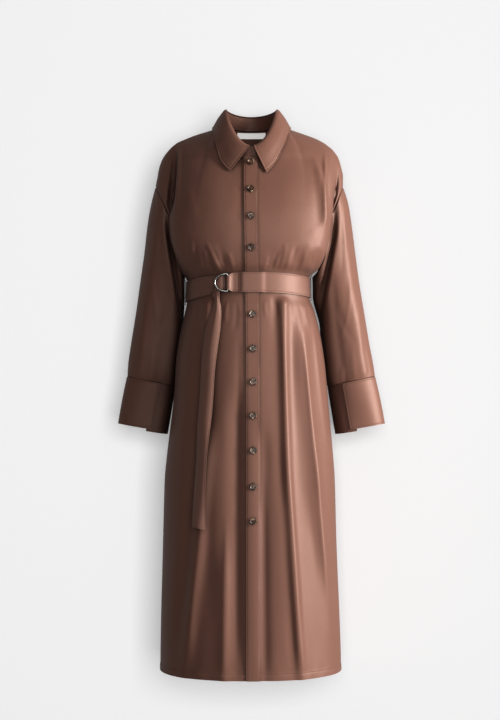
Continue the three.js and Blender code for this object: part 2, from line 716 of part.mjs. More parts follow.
// Band that laps over the front, and its buttons
function addBand() {
  const grid = bodyRows.map((v) => {
    const z = bodyPoint("front", 0, v).z;
    return [-1, -0.5, 0, 0.5, 1].map((t) => {
      const u = shareAt("front", bandMiddle(z) + t * bandHalfWidth, v);
      return liftedPoint("front", u, v, bandLift + clothWall);
    });
  });
  addPiece("button_band", gridSolid(grid, clothWall), satin);
}

function buttonGeometry() {
  const half = buttonHeight / 2;
  const outline = [
    [0, -half],
    [buttonRadius * 0.8, -half],
    [buttonRadius, 0],
    [buttonRadius * 0.86, half],
    [buttonRadius * 0.66, half * 0.5],
    [0, half * 0.5],
  ];
  return new THREE.LatheGeometry(outline.map(([x, y]) => new THREE.Vector2(x, y)), 14);
}

function addButtons() {
  const lift = bandLift + clothWall + seamGap + 0.2 + buttonHeight / 2;
  buttonHeights.forEach((z, i) => {
    const place = placeOn("front", bandMiddle(z), z);
    const button = addPiece(`button_${i + 1}`, buttonGeometry(), horn);
    const out = bodyNormal("front", place.u, place.v);
    button.position.copy(bodyPoint("front", place.u, place.v)).addScaledVector(out, lift);
    button.quaternion.setFromUnitVectors(new THREE.Vector3(0, 1, 0), out);
  });
}

// Sleeves
// Half width of the body beside the sleeve, at a height and depth
function bodyReach(side, y, z) {
  const depth = y < 0 ? bodyDepth.front(z) : bodyDepth.back(z);
  const along = Math.min(Math.abs(y) / depth, 1);
  return bodyWidth[side](z) * (1 - along ** planPower) ** (1 / planPower);
}

function sleevePoint(side, place, angle) {
  const ring = sleeveRing(side, place);
  let rise = 0;
  for (const fold of sleeveFolds) {
    const strength = smooth((place - fold.from) * 5) * smooth((fold.to - place) * 7);
    rise += fold.rise * strength * bump(angle - fold.angle, fold.width);
  }
  const point = ringPoint(side, ring, angle, rise);
  const beside = smooth((place - 0.16) * 8);
  const least = bodyReach(side, point.y, Math.min(point.z, -345)) + sleeveClearance;
  if (Math.abs(point.x) < least) {
    point.x = lerp(point.x, Math.sign(point.x) * least, beside);
  }
  return point;
}

function addSleeve(name, side) {
  const grid = [];
  for (let i = 0; i <= sleeveRows; i += 1) {
    const place = lerp(0.004, 1, i / sleeveRows);
    const row = [];
    for (let j = 0; j < sleeveColumns; j += 1) {
      row.push(sleevePoint(side, place, (360 * j) / sleeveColumns));
    }
    grid.push(row);
  }
  const tube = gridSolid(grid, clothWall, { closed: true, flip: side === "right" });
  addPiece(name, cutBy(tube, grownPanels[side]), satin);
}

// Cuffs: a strip wound once round, its end lapped over its start
function cuffPoint(side, turn, down) {
  const angle = cuffSlitAngle - cuffLapAngle + turn * (360 + cuffLapAngle);
  const top = sleeveRing(side, 1);
  const ring = {};
  for (const key of Object.keys(top)) ring[key] = lerp(top[key], cuffEnd[key], down);
  const point = ringPoint(side, ring, angle, lerp(-1.2, 1.2, turn));
  point.z -= seamGap + 0.1 + down * cuffDrop * (1 - turn);
  return point;
}

function addCuff(name, side) {
  const columns = 28;
  const grid = [];
  for (const down of [0, 0.5, 1]) {
    const row = [];
    for (let j = 0; j <= columns; j += 1) row.push(cuffPoint(side, j / columns, down));
    grid.push(row);
  }
  addPiece(name, gridSolid(grid, clothWall, { flip: side === "right" }), satin);
}

// Collar stand, its right end lapped over its left at the centre front
function rollPoint(angle) {
  const c = Math.cos(radians(angle));
  const s = Math.sin(radians(angle));
  const depth = c > 0 ? frontRollDepth : backRollDepth;
  const drop = c > 0 ? frontRollDrop * c ** neckDropPower : backRollDrop * c * c;
  return new THREE.Vector3(rollHalfWidth * s, rollCentreY - depth * c, rollHeight - drop);
}

function outwardAt(angle) {
  return new THREE.Vector3(Math.sin(radians(angle)), -Math.cos(radians(angle)), 0);
}

function addStand() {
  const columns = 28;
  const grid = [0, 0.5, 1].map((up) => {
    const row = [];
    for (let j = 0; j <= columns; j += 1) {
      const turn = j / columns;
      const angle = lerp(-standLapAngle, 360 + standLapAngle, turn);
      const point = neckPoint(angle).lerp(rollPoint(angle), lerp(standFoot, 1, up));
      row.push(point.addScaledVector(outwardAt(angle), lerp(standLapOut.from, standLapOut.to, turn)));
    }
    return row;
  });
  addPiece("collar_stand", gridSolid(grid, clothWall), satin);
}

// Collar fall, rolled over the stand and laid on the shoulders and chest
function edgeRows(table) {
  return table.map((row) => {
    if (row.angle === 90) return { ...row, y: 4 };
    const place = placeOn("front", row.x, row.z);
    return { ...row, y: liftedPoint("front", place.u, place.v, collarLift).y };
  });
}

const collarRows = {
  left: [...edgeRows(collarEdgeLeft), ...collarBack.slice(1)],
  right: [...edgeRows(collarEdgeRight), ...collarBack.slice(1)],
};

function collarEdge(angle) {
  const side = angle <= 180 ? "left" : "right";
  const from = angle <= 180 ? angle : 360 - angle;
  const rows = collarRows[side];
  const x = curve(rows, "angle", "x")(from);
  const y = curve(rows, "angle", "y")(from);
  const z = curve(rows, "angle", "z")(from);
  return new THREE.Vector3(side === "left" ? x : -x, y, z);
}

const rollOut = curve(collarRoll, "share", "out");
const rollUp = curve(collarRoll, "share", "up");

function collarPoint(angle, share) {
  const point = rollPoint(angle).lerp(collarEdge(angle), share);
  point.addScaledVector(outwardAt(angle), rollOut(share));
  point.z += rollUp(share);
  return clearOfFront(point);
}

// Moves a point of the collar forward, clear of the fronts
function clearOfFront(point) {
  if (point.y > 0) return point;
  const place = placeOn("front", point.x, point.z);
  const below = liftedPoint("front", place.u, place.v, collarLift);
  if (place.v < 2.995) point.y = Math.min(point.y, below.y);
  return point;
}

function addCollar() {
  const columns = 36;
  const shares = [0, 0.03, 0.08, 0.18, 0.4, 0.7, 1];
  const grid = shares.map((share) => {
    const row = [];
    for (let j = 0; j <= columns; j += 1) {
      row.push(collarPoint(lerp(4, 356, j / columns), share));
    }
    return row;
  });
  addPiece("collar", gridSolid(grid, clothWall, { flip: true }), satin);
}

function addLabel() {
  const grid = [label.bottom, label.top].map((z) => {
    const row = [];
    for (let j = 0; j <= label.columns; j += 1) {
      const x = label.halfWidth * ((2 * j) / label.columns - 1);
      const place = placeOn("back", x, z);
      row.push(liftedPoint("back", place.u, place.v, -(clothWall + label.standOff)));
    }
    return row;
  });
  addPiece("neck_label", gridSolid(grid, label.thickness, { flip: true }), whiteSatin);
}

// Belt: one strip round the waist, from the rings over the front and round the back
function beltLift(x, face) {
  if (face === "back") return beltClearance;
  const fromBand = Math.abs(x - bandMiddle(beltLine.front));
  const over = 1 - smooth((fromBand - overBand.half) / overBand.slope);
  return beltClearance + (bandLift + clothWall) * over;
}

// Point of the belt, up from its lower edge; the free end narrows where it runs to the rings
function beltPoint(face, u, up, lift) {
  const x = bodyPoint(face, u, 1.5).x;
  const inFreeEnd = face === "front" && x < freeEnd.narrowFrom;
  const narrow = inFreeEnd ? smooth(1 - (freeEnd.narrowFrom - x) / freeEnd.narrowRun) : 0;
  const width = lerp(beltWidth, freeEnd.width, narrow) / beltWidth;
  return liftedPoint(face, u, 1.5 + (up - 0.5) * width, lift + beltLift(x, face));
}

function addBelt() {
  const startShare = shareAt("front", beltStartX, 1.5);
  const endShare = shareAt("front", freeEnd.x, 1.5);
  const stations = [];
  const perSide = 18;
  for (let j = 0; j <= perSide + 4; j += 1) {
    stations.push({ face: "front", u: lerp(startShare, 0.998, j / (perSide + 4)) });
  }
  for (let j = 1; j < 2 * perSide; j += 1) stations.push({ face: "back", u: 1 - j / perSide });
  for (let j = 0; j <= perSide; j += 1) {
    stations.push({ face: "front", u: lerp(-0.998, endShare, j / perSide) });
  }
  const grid = [0, 1].map((up) => stations.map(({ face, u }) => beltPoint(face, u, up, doubleWall)));
  addPiece("belt", gridSolid(grid, doubleWall), satin);
}

// End of the belt folded round the bars of the rings
function addRingFold() {
  const grid = foldSection.map(({ x, lift, half }) => {
    const u = shareAt("front", x, 1.5);
    return [-half / beltWidth, half / beltWidth].map((up) => {
      return liftedPoint("front", u, 1.5 + up, lift + beltLift(x, "front"));
    });
  });
  addPiece("belt_ring_fold", gridSolid(grid, doubleWall, { flip: true }), satin);
}

// D-shaped ring: a straight bar in the fold and a round side that stands out to the right
function addRing({ name, bar, reach, height, lift, tipLift }) {
  const { sides, barSteps, roundSteps, corner, power, least } = ringShape;
  const path = [];
  const half = height / 2;
  for (let i = 0; i <= barSteps; i += 1) {
    path.push([0, lerp(-half + corner, half - corner, i / barSteps)]);
  }
  for (let i = 0; i <= roundSteps; i += 1) {
    const angle = radians(90 - (180 * i) / roundSteps);
    const across = Math.max(Math.cos(angle), 0) ** power;
    path.push([Math.max(across, least), half * Math.sin(angle)]);
  }
  const base = beltHeight("front", shareAt("front", bar, 1.5));
  const centres = path.map(([out, up]) => {
    const x = lerp(bar, reach, out);
    const u = shareAt("front", x, 1.5);
    const point = liftedPoint("front", u, 1.5, lerp(lift, tipLift, out) + beltLift(x, "front"));
    return point.setZ(base + up);
  });
  const barMiddle = centres[barSteps / 2];
  const tip = centres[barSteps + 1 + roundSteps / 2];
  const plane = tip.clone().sub(barMiddle).setZ(0).normalize();
  const facing = new THREE.Vector3().crossVectors(plane, new THREE.Vector3(0, 0, 1)).normalize();
  const n = centres.length;
  const vertices = [];
  centres.forEach((centre, i) => {
    const along = centres[(i + 1) % n].clone().sub(centres[(i + n - 1) % n]).normalize();
    const inPlane = new THREE.Vector3().crossVectors(facing, along).normalize();
    for (let k = 0; k < sides; k += 1) {
      const angle = (2 * Math.PI * k) / sides;
      const point = centre.clone().addScaledVector(facing, (Math.cos(angle) * ringWire) / 2);
      vertices.push(point.addScaledVector(inPlane, (Math.sin(angle) * ringWire) / 2));
    }
  });
  const index = [];
  for (let i = 0; i < n; i += 1) {
    for (let k = 0; k < sides; k += 1) {
      const a = i * sides + k;
      const b = i * sides + ((k + 1) % sides);
      const c = ((i + 1) % n) * sides + ((k + 1) % sides);
      const d = ((i + 1) % n) * sides + k;
      index.push(a, c, b, a, d, c);
    }
  }
  addPiece(name, solidFrom(vertices, index), metal);
}

// Tail of the belt, drawn through the rings and hanging in front of the skirt
function tailPoint(station, across) {
  const turn = radians(station.turn);
  const place = placeOn("front", station.x, station.z);
  const middle = liftedPoint("front", place.u, place.v, station.lift + doubleWall);
  const out = bodyNormal("front", place.u, place.v);
  const flat = new THREE.Vector3(-out.y, out.x, 0).normalize();
  const half = station.width / 2;
  middle.addScaledVector(flat, across * half * Math.cos(turn));
  middle.z += across * half * Math.sin(turn);
  return middle.addScaledVector(out, -station.curl * across * across);
}

function addTail() {
  const grid = tailStations.map((station) => [-1, -0.5, 0, 0.5, 1].map((t) => tailPoint(station, t)));
  addPiece("belt_tail", gridSolid(grid, doubleWall, { flip: true }), satin);
}

// Thread loop at a side seam, outside the belt
function addThreadLoop(name, u) {
  const sign = Math.sign(u);
  const middle = beltHeight("front", u);
  const half = beltWidth / 2;
  const end = half + threadLoop.overhang;
  const foot = threadLoop.foot;
  const over = doubleWall + threadLoop.thickness;
  const outline = [
    [foot, end + 2],
    [over, end],
    [doubleWall + threadLoop.slack, 0],
    [over, -end],
    [foot, -end - 2],
  ];
  const vertices = [];
  for (const [lift, up] of outline) {
    const z = middle + up;
    const x = Math.abs(sectionPoint("front", sideOf(u), 1, z, 0, middle).x) + lift;
    for (const [dx, dy] of [[0, -1], [1, -1], [1, 1], [0, 1]]) {
      const y = (dy * threadLoop.width) / 2;
      vertices.push(new THREE.Vector3(sign * (x + dx * threadLoop.thickness), y, z));
    }
  }
  const index = [];
  const quad = (a, b, c, d) => {
    if (sign > 0) index.push(a, b, c, a, c, d);
    else index.push(a, c, b, a, d, c);
  };
  const n = outline.length;
  for (let i = 0; i < n - 1; i += 1) {
    for (let k = 0; k < 4; k += 1) {
      const next = (k + 1) % 4;
      quad(4 * i + k, 4 * (i + 1) + k, 4 * (i + 1) + next, 4 * i + next);
    }
  }
  quad(0, 1, 2, 3);
  quad(4 * n - 1, 4 * n - 2, 4 * n - 3, 4 * n - 4);
  addPiece(name, solidFrom(vertices, index), satin);
}

addFront("front_left", 1);
addFront("front_right", -1);
addBack();
addBand();
addButtons();
addSleeve("sleeve_left", "left");
addSleeve("sleeve_right", "right");
addCuff("cuff_left", "left");
addCuff("cuff_right", "right");
addStand();
addCollar();
addLabel();
addBelt();
addRingFold();
rings.forEach(addRing);
addTail();
addThreadLoop("belt_loop_left", 1);
addThreadLoop("belt_loop_right", -1);

export default dress;
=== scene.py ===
import math
import bpy
import numpy as np
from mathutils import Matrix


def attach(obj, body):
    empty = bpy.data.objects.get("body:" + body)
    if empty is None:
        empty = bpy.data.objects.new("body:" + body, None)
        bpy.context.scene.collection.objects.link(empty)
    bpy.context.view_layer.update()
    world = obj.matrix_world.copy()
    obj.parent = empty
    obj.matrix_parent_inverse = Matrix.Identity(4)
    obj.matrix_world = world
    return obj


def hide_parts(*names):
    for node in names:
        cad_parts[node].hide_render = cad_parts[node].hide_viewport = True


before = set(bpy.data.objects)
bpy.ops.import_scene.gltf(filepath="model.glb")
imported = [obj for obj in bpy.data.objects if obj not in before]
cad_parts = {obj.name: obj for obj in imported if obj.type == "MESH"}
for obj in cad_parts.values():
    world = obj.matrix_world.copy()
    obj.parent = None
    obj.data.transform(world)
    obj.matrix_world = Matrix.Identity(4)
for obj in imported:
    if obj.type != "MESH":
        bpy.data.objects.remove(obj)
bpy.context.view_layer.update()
print("frame loaded")

# camera, light and stage
cameraPlace = {"x": -0.0034, "y": -3.4, "z": -0.52875, "lens": 75.56}

cameraData = bpy.data.cameras.new("camera")
cameraData.lens = cameraPlace["lens"]
cameraData.sensor_width = 36
camera = bpy.data.objects.new("camera", cameraData)
camera.location = (cameraPlace["x"], cameraPlace["y"], cameraPlace["z"])
camera.rotation_euler = (math.radians(90), 0, 0)
bpy.context.scene.collection.objects.link(camera)
bpy.context.scene.camera = camera
bpy.context.scene.view_settings.view_transform = "Standard"

lightPlaces = {  # the paper light lights the backdrop alone, and the others the dress alone
    "paperLight": {"at": (0.6, -5.8, -0.2), "aim": (0, 0, -0.6), "size": (2.7, 2.7), "power": 273, "colour": (1, 1, 1)},
    "keyLight": {"at": (2.75, -1.15, 0), "aim": (0, 0, -0.6), "size": (0.55, 2.4), "power": 176, "colour": (1, 0.985, 0.965)},
    "fillLight": {"at": (0.7, -4.0, 0.2), "aim": (0, 0, -0.6), "size": (2, 2), "power": 33, "colour": (1, 0.99, 0.98)},
}
backdropPlace = {"y": 0.185, "floorZ": -1.75, "half": 5, "top": 3.2, "cove": 0.35, "front": -7.5}


def aimedLight(name, place):
    data = bpy.data.lights.new(name, "AREA")
    data.shape = "RECTANGLE"
    data.size, data.size_y = place["size"]
    data.energy = place["power"]
    data.color = place["colour"]
    light = bpy.data.objects.new(name, data)
    light.location = place["at"]
    offset = np.array(place["aim"]) - np.array(place["at"])
    pitch = math.atan2(math.hypot(offset[0], offset[1]), -offset[2])
    light.rotation_euler = (pitch, 0, math.atan2(-offset[0], offset[1]))
    bpy.context.scene.collection.objects.link(light)
    return light


world = bpy.data.worlds.new("paleRoom")
world.use_nodes = True
world.node_tree.nodes["Background"].inputs["Color"].default_value = (0.95, 0.96, 1, 1)
world.node_tree.nodes["Background"].inputs["Strength"].default_value = 0.08
bpy.context.scene.world = world


def makeBackdrop(place):
    profile = [(place["front"], place["floorZ"])]
    for k in range(13):
        turn = math.radians(90 * k / 12)
        y = place["y"] - place["cove"] * (1 - math.sin(turn))
        z = place["floorZ"] + place["cove"] * (1 - math.cos(turn))
        profile.append((y, z))
    profile.append((place["y"], place["top"]))
    verts = [(side * place["half"], y, z) for y, z in profile for side in (-1, 1)]
    faces = [(2 * k, 2 * k + 1, 2 * k + 3, 2 * k + 2) for k in range(len(profile) - 1)]
    mesh = bpy.data.meshes.new("backdrop")
    mesh.from_pydata(verts, [], faces)
    mesh.shade_smooth()
    backdrop = bpy.data.objects.new("backdrop", mesh)
    bpy.context.scene.collection.objects.link(backdrop)
    material = bpy.data.materials.new("palePaper")
    material.use_nodes = True
    tree = material.node_tree
    paper = tree.nodes["Principled BSDF"]
    paper.inputs["Base Color"].default_value = (0.8, 0.8, 0.8, 1)
    paper.inputs["Roughness"].default_value = 0.95
    paper.inputs["Emission Color"].default_value = (1, 1, 1, 1)
    paper.inputs["Emission Strength"].default_value = 0.25
    dim = tree.nodes.new("ShaderNodeBsdfDiffuse")
    dim.inputs["Color"].default_value = (0.3, 0.3, 0.3, 1)
    clear = tree.nodes.new("ShaderNodeBsdfTransparent")
    seen, side = tree.nodes.new("ShaderNodeLightPath"), tree.nodes.new("ShaderNodeNewGeometry")
    front, whole = tree.nodes.new("ShaderNodeMixShader"), tree.nodes.new("ShaderNodeMixShader")
    tree.links.new(seen.outputs["Is Camera Ray"], front.inputs["Fac"])
    tree.links.new(dim.outputs["BSDF"], front.inputs[1])
    tree.links.new(paper.outputs["BSDF"], front.inputs[2])
    tree.links.new(side.outputs["Backfacing"], whole.inputs["Fac"])
    tree.links.new(front.outputs["Shader"], whole.inputs[1])
    tree.links.new(clear.outputs["BSDF"], whole.inputs[2])
    tree.links.new(whole.outputs["Shader"], tree.nodes["Material Output"].inputs["Surface"])
    mesh.materials.append(material)
    return backdrop


def linkLights(places, backdrop):
    alone, others = bpy.data.collections.new("backdropAlone"), bpy.data.collections.new("allButBackdrop")
    alone.objects.link(backdrop)
    others.objects.link(backdrop)
    others.collection_objects[0].light_linking.link_state = "EXCLUDE"
    for name, place in places.items():
        light = aimedLight(name, place)
        light.light_linking.receiver_collection = alone if name == "paperLight" else others


linkLights(lightPlaces, makeBackdrop(backdropPlace))
print("camera, lights and backdrop made")


# small helpers
def smoothStep(t):
    s = np.clip(t, 0, 1)
    return s * s * (3 - 2 * s)


def mixed(a, b, t):
    return a + (b - a) * t


def bump(distance, width):
    return np.exp(-((distance / width) ** 2))


def tableCurve(keys, values):  # smooth curve through a table that never overshoots a row
    keys, values = np.array(keys, float), np.array(values, float)
    step = np.diff(keys)
    secant = np.diff(values) / step
    slopes = np.zeros(len(keys))
    slopes[0], slopes[-1] = secant[0], secant[-1]
    if len(keys) > 2:
        before, after = secant[:-1], secant[1:]
        total = np.where(before + after == 0, 1, before + after)
        slopes[1:-1] = np.where(before * after > 0, 2 * before * after / total, 0)

    def at(x):
        x = np.clip(x, keys[0], keys[-1])
        i = np.clip(np.searchsorted(keys, x, side="right") - 1, 0, len(keys) - 2)
        t = (x - keys[i]) / step[i]
        return (
            values[i] * (2 * t**3 - 3 * t**2 + 1)
            + slopes[i] * step[i] * (t**3 - 2 * t**2 + t)
            + values[i + 1] * (3 * t**2 - 2 * t**3)
            + slopes[i + 1] * step[i] * (t**3 - t**2)
        )

    return at


def columns(rows, key, *names):
    keys = [row[key] for row in rows]
    return [tableCurve(keys, [row[name] for row in rows]) for name in names]


# body form, in millimetres
bodySizes = {
    "hem": -1220, "shoulder": -2, "frontNeck": -86,
    "neckHalf": 64, "neckY": 4, "neckFront": 88, "neckBack": 68,
    "beltWidth": 45, "beltFront": -358.5, "beltLeft": -367, "beltRight": -377, "beltBack": -363,
    "tableBelt": -366.5, "planPower": 2.3, "neckShare": 0.34,
    "turnLeft": 0.82, "turnRight": 0.72, "turnFront": 58, "turnBack": 52,
    "backTuck": 7, "armholeY": 8, "underarm": 0.22, "gap": 0.3, "wall": 1.3,
}
bodySections = [
    {"z": z, "left": left, "right": right, "front": front, "back": back}
    for z, left, right, front, back in [
        (-1220, 201, 205, 150, 143), (-1070, 196, 202, 146, 139), (-934, 191, 199, 142, 134),
        (-799, 187, 195, 138, 129), (-731, 182, 188, 135, 126), (-664, 176, 180, 132, 122),
        (-596, 170, 173, 129, 118), (-529, 163, 169, 125, 113), (-461, 152, 159, 119, 106),
        (-416, 140, 150, 114, 100), (-388, 130, 145, 109, 96), (-345, 129, 144, 109, 95),
        (-325, 149, 157, 117, 101), (-300, 161, 167, 122, 105), (-254, 172, 180, 126, 109),
        (-218, 177, 183, 125, 111), (-169, 184, 179, 118, 111), (-133, 190, 174, 109, 108),
        (-84, 196, 166, 92, 100),
    ]
]
shoulderSeam = [
    {"share": share, "left": left, "right": right, "z": z}
    for share, left, right, z in [
        (0, 64, 64, -2), (0.16, 91, 91, -11.5), (0.32, 118, 122, -20.5), (0.45, 143, 146, -29.5),
        (0.56, 161, 167, -38.5), (0.64, 174, 179, -47.5), (0.71, 185, 188, -57), (0.8, 196, 200, -74),
        (0.88, 202, 208, -95), (0.94, 206, 212, -114), (1, 206, 216, -138),
    ]
]
frontSkirtFolds = [  # x at the belt, the knee and the hem, then width, rise, top and bottom
    (70, 83, 111, 11, 8, -380, -1300), (100, 148, 186, 12, 7, -400, -1090),
    (88, 118, 152, 17, -4, -440, -1300), (24, 29, 31, 15, -4, -640, -1300),
    (-30, -32, -34, 18, -5, -560, -1260), (-46, -58, -60, 16, 3, -900, -1400),
    (-70, -108, -148, 13, 6, -640, -1280), (-112, -136, -176, 14, -4, -420, -1200),
    (-98, -116, -130, 9, 4, -380, -560), (50, 56, 60, 8, -3, -380, -520),
]
backSkirtFolds = [
    (-104, -132, -150, 13, 7, -380, -1300), (-62, -70, -84, 15, -5, -400, -1300),
    (-30, -26, -22, 13, 6, -380, -1180), (12, 22, 34, 16, -5, -400, -1300),
    (48, 66, 88, 12, 7, -380, -1300), (96, 122, 140, 15, -5, -390, -1240),
]
frontBodiceFolds = [  # x at its upper end and at the belt, then width, rise and top
    (-86, -65, 8, 6, -262), (-70, -52, 7, -4, -275), (-138, -128, 9, -4, -240),
    (-116, -104, 9, 4, -270), (48, 31, 9, -5, -275), (88, 73, 9, 6, -258),
    (128, 118, 9, 5, -255), (106, 95, 8, -3, -270),
]
backBodiceFolds = [
    (-92, -78, 9, 6, -262), (-50, -40, 9, -4, -272), (-12, -8, 9, 5, -258),
    (34, 26, 9, -4, -275), (70, 58, 9, 6, -260), (116, 100, 9, 5, -265),
]
chestCrease = {"x": 158, "width": 8, "rise": 5, "top": -70, "bottom": -262}

widthLeft, widthRight, depthFront, depthBack = columns(bodySections, "z", "left", "right", "front", "back")
shoulderLeft, shoulderRight, shoulderZ = columns(shoulderSeam, "share", "left", "right", "z")
depthOf = {"front": depthFront, "back": depthBack}
faceSign = {"front": -1, "back": 1}


def bySide(u, left, right):
    return np.where(np.asarray(u) < 0, right, left)


def beltHeight(face, u):
    s = bodySizes
    middle = s["beltFront"] if face == "front" else s["beltBack"]
    share = np.sin(np.radians(90 * np.clip(np.abs(u), 0, 1))) ** 2
    return mixed(middle, bySide(u, s["beltLeft"], s["beltRight"]), share)


def foldPlace(belt, knee, hem, z):
    span = bodySizes["hem"] - bodySizes["beltFront"]
    t = (z - bodySizes["beltFront"]) / span
    k = (-875 - bodySizes["beltFront"]) / span
    bend = (hem - belt - (knee - belt) / k) / (1 - k)
    return belt + (hem - belt - bend) * t + bend * t * t


def foldHeight(face, x, z, beltZ):
    free = smoothStep((np.abs(z - beltZ) - bodySizes["beltWidth"] / 2 - 2) / 20)
    skirt = np.zeros_like(x)
    for belt, knee, hem, width, rise, top, bottom in frontSkirtFolds if face == "front" else backSkirtFolds:
        start = free if top > -400 else smoothStep((top - z) / 110)
        end = smoothStep((z - bottom) / 160)
        skirt += rise * start * end * bump(x - foldPlace(belt, knee, hem, z), width)
    bodice = np.zeros_like(x)
    for upper, belt, width, rise, top in frontBodiceFolds if face == "front" else backBodiceFolds:
        t = np.clip((z - beltZ) / (top - beltZ), 0, 1)
        bodice += rise * free * (1 - smoothStep(t)) * bump(x - mixed(belt, upper, t), width)
    if face == "front":
        c = chestCrease
        strength = smoothStep((c["top"] - z) / 50) * smoothStep((z - c["bottom"]) / 60)
        bodice += c["rise"] * strength * bump(x - c["x"], c["width"])
    return np.where(z < beltZ, skirt, bodice)


def sectionPoint(face, u, q, z, turnY, beltZ):
    s = bodySizes
    power = 2 / s["planPower"]
    tuck = s["backTuck"] * smoothStep((z - beltZ - s["beltWidth"] / 2) / 40) if face == "back" else 0
    tableZ = z + (s["tableBelt"] - beltZ) * bump(z - beltZ, 70)
    half = bySide(u, widthLeft(tableZ), widthRight(tableZ)) - tuck
    depth = depthOf[face](tableZ)
    across = np.sin(np.radians(90 * q)) ** power
    along = np.maximum(np.cos(np.radians(90 * q)), 0) ** power
    sign = bySide(u, 1, -1)
    x = sign * half * across
    y = faceSign[face] * (turnY + (depth - turnY) * along)
    nx = across ** (s["planPower"] - 1) * sign / half
    ny = along ** (s["planPower"] - 1) * faceSign[face] / depth
    length = np.hypot(nx, ny)
    rise = foldHeight(face, x, z, beltZ) * smoothStep((1 - q) * 12)
    return np.stack([x + nx / length * rise, y + ny / length * rise, z + 0 * x], -1)


def neckPoint(angle):
    s = bodySizes
    c, n = np.cos(np.radians(angle)), np.sin(np.radians(angle))
    depth = np.where(c > 0, s["neckFront"], s["neckBack"])
    lift = np.maximum(c, 0) ** 1.6
    drop = np.where(c > 0, (s["shoulder"] - s["frontNeck"]) * lift, 3 * c * c)
    return np.stack([s["neckHalf"] * n, s["neckY"] - depth * c, s["shoulder"] - drop], -1)


def topPoint(face, u, share):
    s = bodySizes
    angle = 90 * np.minimum(share, s["neckShare"]) / s["neckShare"]
    neck = neckPoint(angle if face == "front" else 180 - angle)
    sign = bySide(u, 1, -1)
    neck[..., 0] *= sign
    t = np.clip((share - s["neckShare"]) / (1 - s["neckShare"]), 0, 1)
    x = sign * bySide(u, shoulderLeft(t), shoulderRight(t))
    y = mixed(s["neckY"], s["armholeY"], t) + faceSign[face] * 0.6 * s["gap"]
    seam = np.stack([x, y, shoulderZ(t)], -1)
    return np.where((share <= s["neckShare"])[..., None], neck, seam)


sleeveRings = [
    {"place": k / 8, "outerZ": a, "outerLeft": b, "outerRight": c, "innerZ": d, "inner": e, "centreY": f, "depth": g}
    for k, (a, b, c, d, e, f, g) in enumerate([
        (-138, 206, 216, -300, 139, 8, 58), (-176, 218, 226, -330, 150, 14, 56),
        (-222, 226, 235, -358, 152, 20, 55), (-284, 235, 243, -396, 153, 29, 54),
        (-352, 245, 253, -442, 155, 37, 52), (-424, 257, 263, -490, 158, 42, 50),
        (-492, 268, 274, -536, 163, 44, 47), (-540, 277, 281, -570, 167, 44, 42),
        (-566, 281, 283, -588, 172, 43, 36),
    ])
]
ringNames = ("outerZ", "outerLeft", "outerRight", "innerZ", "inner", "centreY", "depth")
ringCurves = dict(zip(ringNames, columns(sleeveRings, "place", *ringNames)))


def sleeveRing(side, place):
    names = {"outer": "outerLeft" if side == "left" else "outerRight"}
    return {key: ringCurves[names.get(key, key)](place) for key in ("outerZ", "outer", "innerZ", "inner", "centreY", "depth")}


def ringPoint(side, ring, angle, offset=0):
    c, s = np.cos(np.radians(angle)), np.sin(np.radians(angle))
    half = np.hypot(ring["outer"] - ring["inner"], ring["outerZ"] - ring["innerZ"]) / 2
    share = np.sign(c) * np.abs(c) ** 0.92 * (1 + offset / half)
    x = (ring["outer"] + ring["inner"]) / 2 + (ring["outer"] - ring["inner"]) / 2 * share
    z = (ring["outerZ"] + ring["innerZ"]) / 2 + (ring["outerZ"] - ring["innerZ"]) / 2 * share
    y = ring["centreY"] - np.sign(s) * np.abs(s) ** 0.92 * (ring["depth"] + offset)
    return np.stack([x if side == "left" else -x, y, z], -1)


def armholePoint(u, angle):
    left = ringPoint("left", sleeveRing("left", 0.0), angle)
    right = ringPoint("right", sleeveRing("right", 0.0), angle)
    return np.where((u < 0)[..., None], right, left)


def sideEdgePoint(face, u, b):
    s = bodySizes
    angle = 180 * (1 - (np.maximum(b, s["underarm"]) - s["underarm"]) / (1 - s["underarm"]))
    hole = armholePoint(u, -faceSign[face] * angle)
    edge = np.where(u < 0, -1.0, 1.0)
    foot = beltHeight(face, edge) + s["beltWidth"] / 2
    waist = sectionPoint(face, edge, np.ones_like(edge), foot, 0, foot - s["beltWidth"] / 2)
    t = np.minimum(b / s["underarm"], 1)[..., None]
    point = np.where((b >= s["underarm"])[..., None], hole, mixed(waist, armholePoint(u, 180.0 + 0 * u), t))
    point[..., 1] += faceSign[face] * 0.6 * s["gap"]
    return point


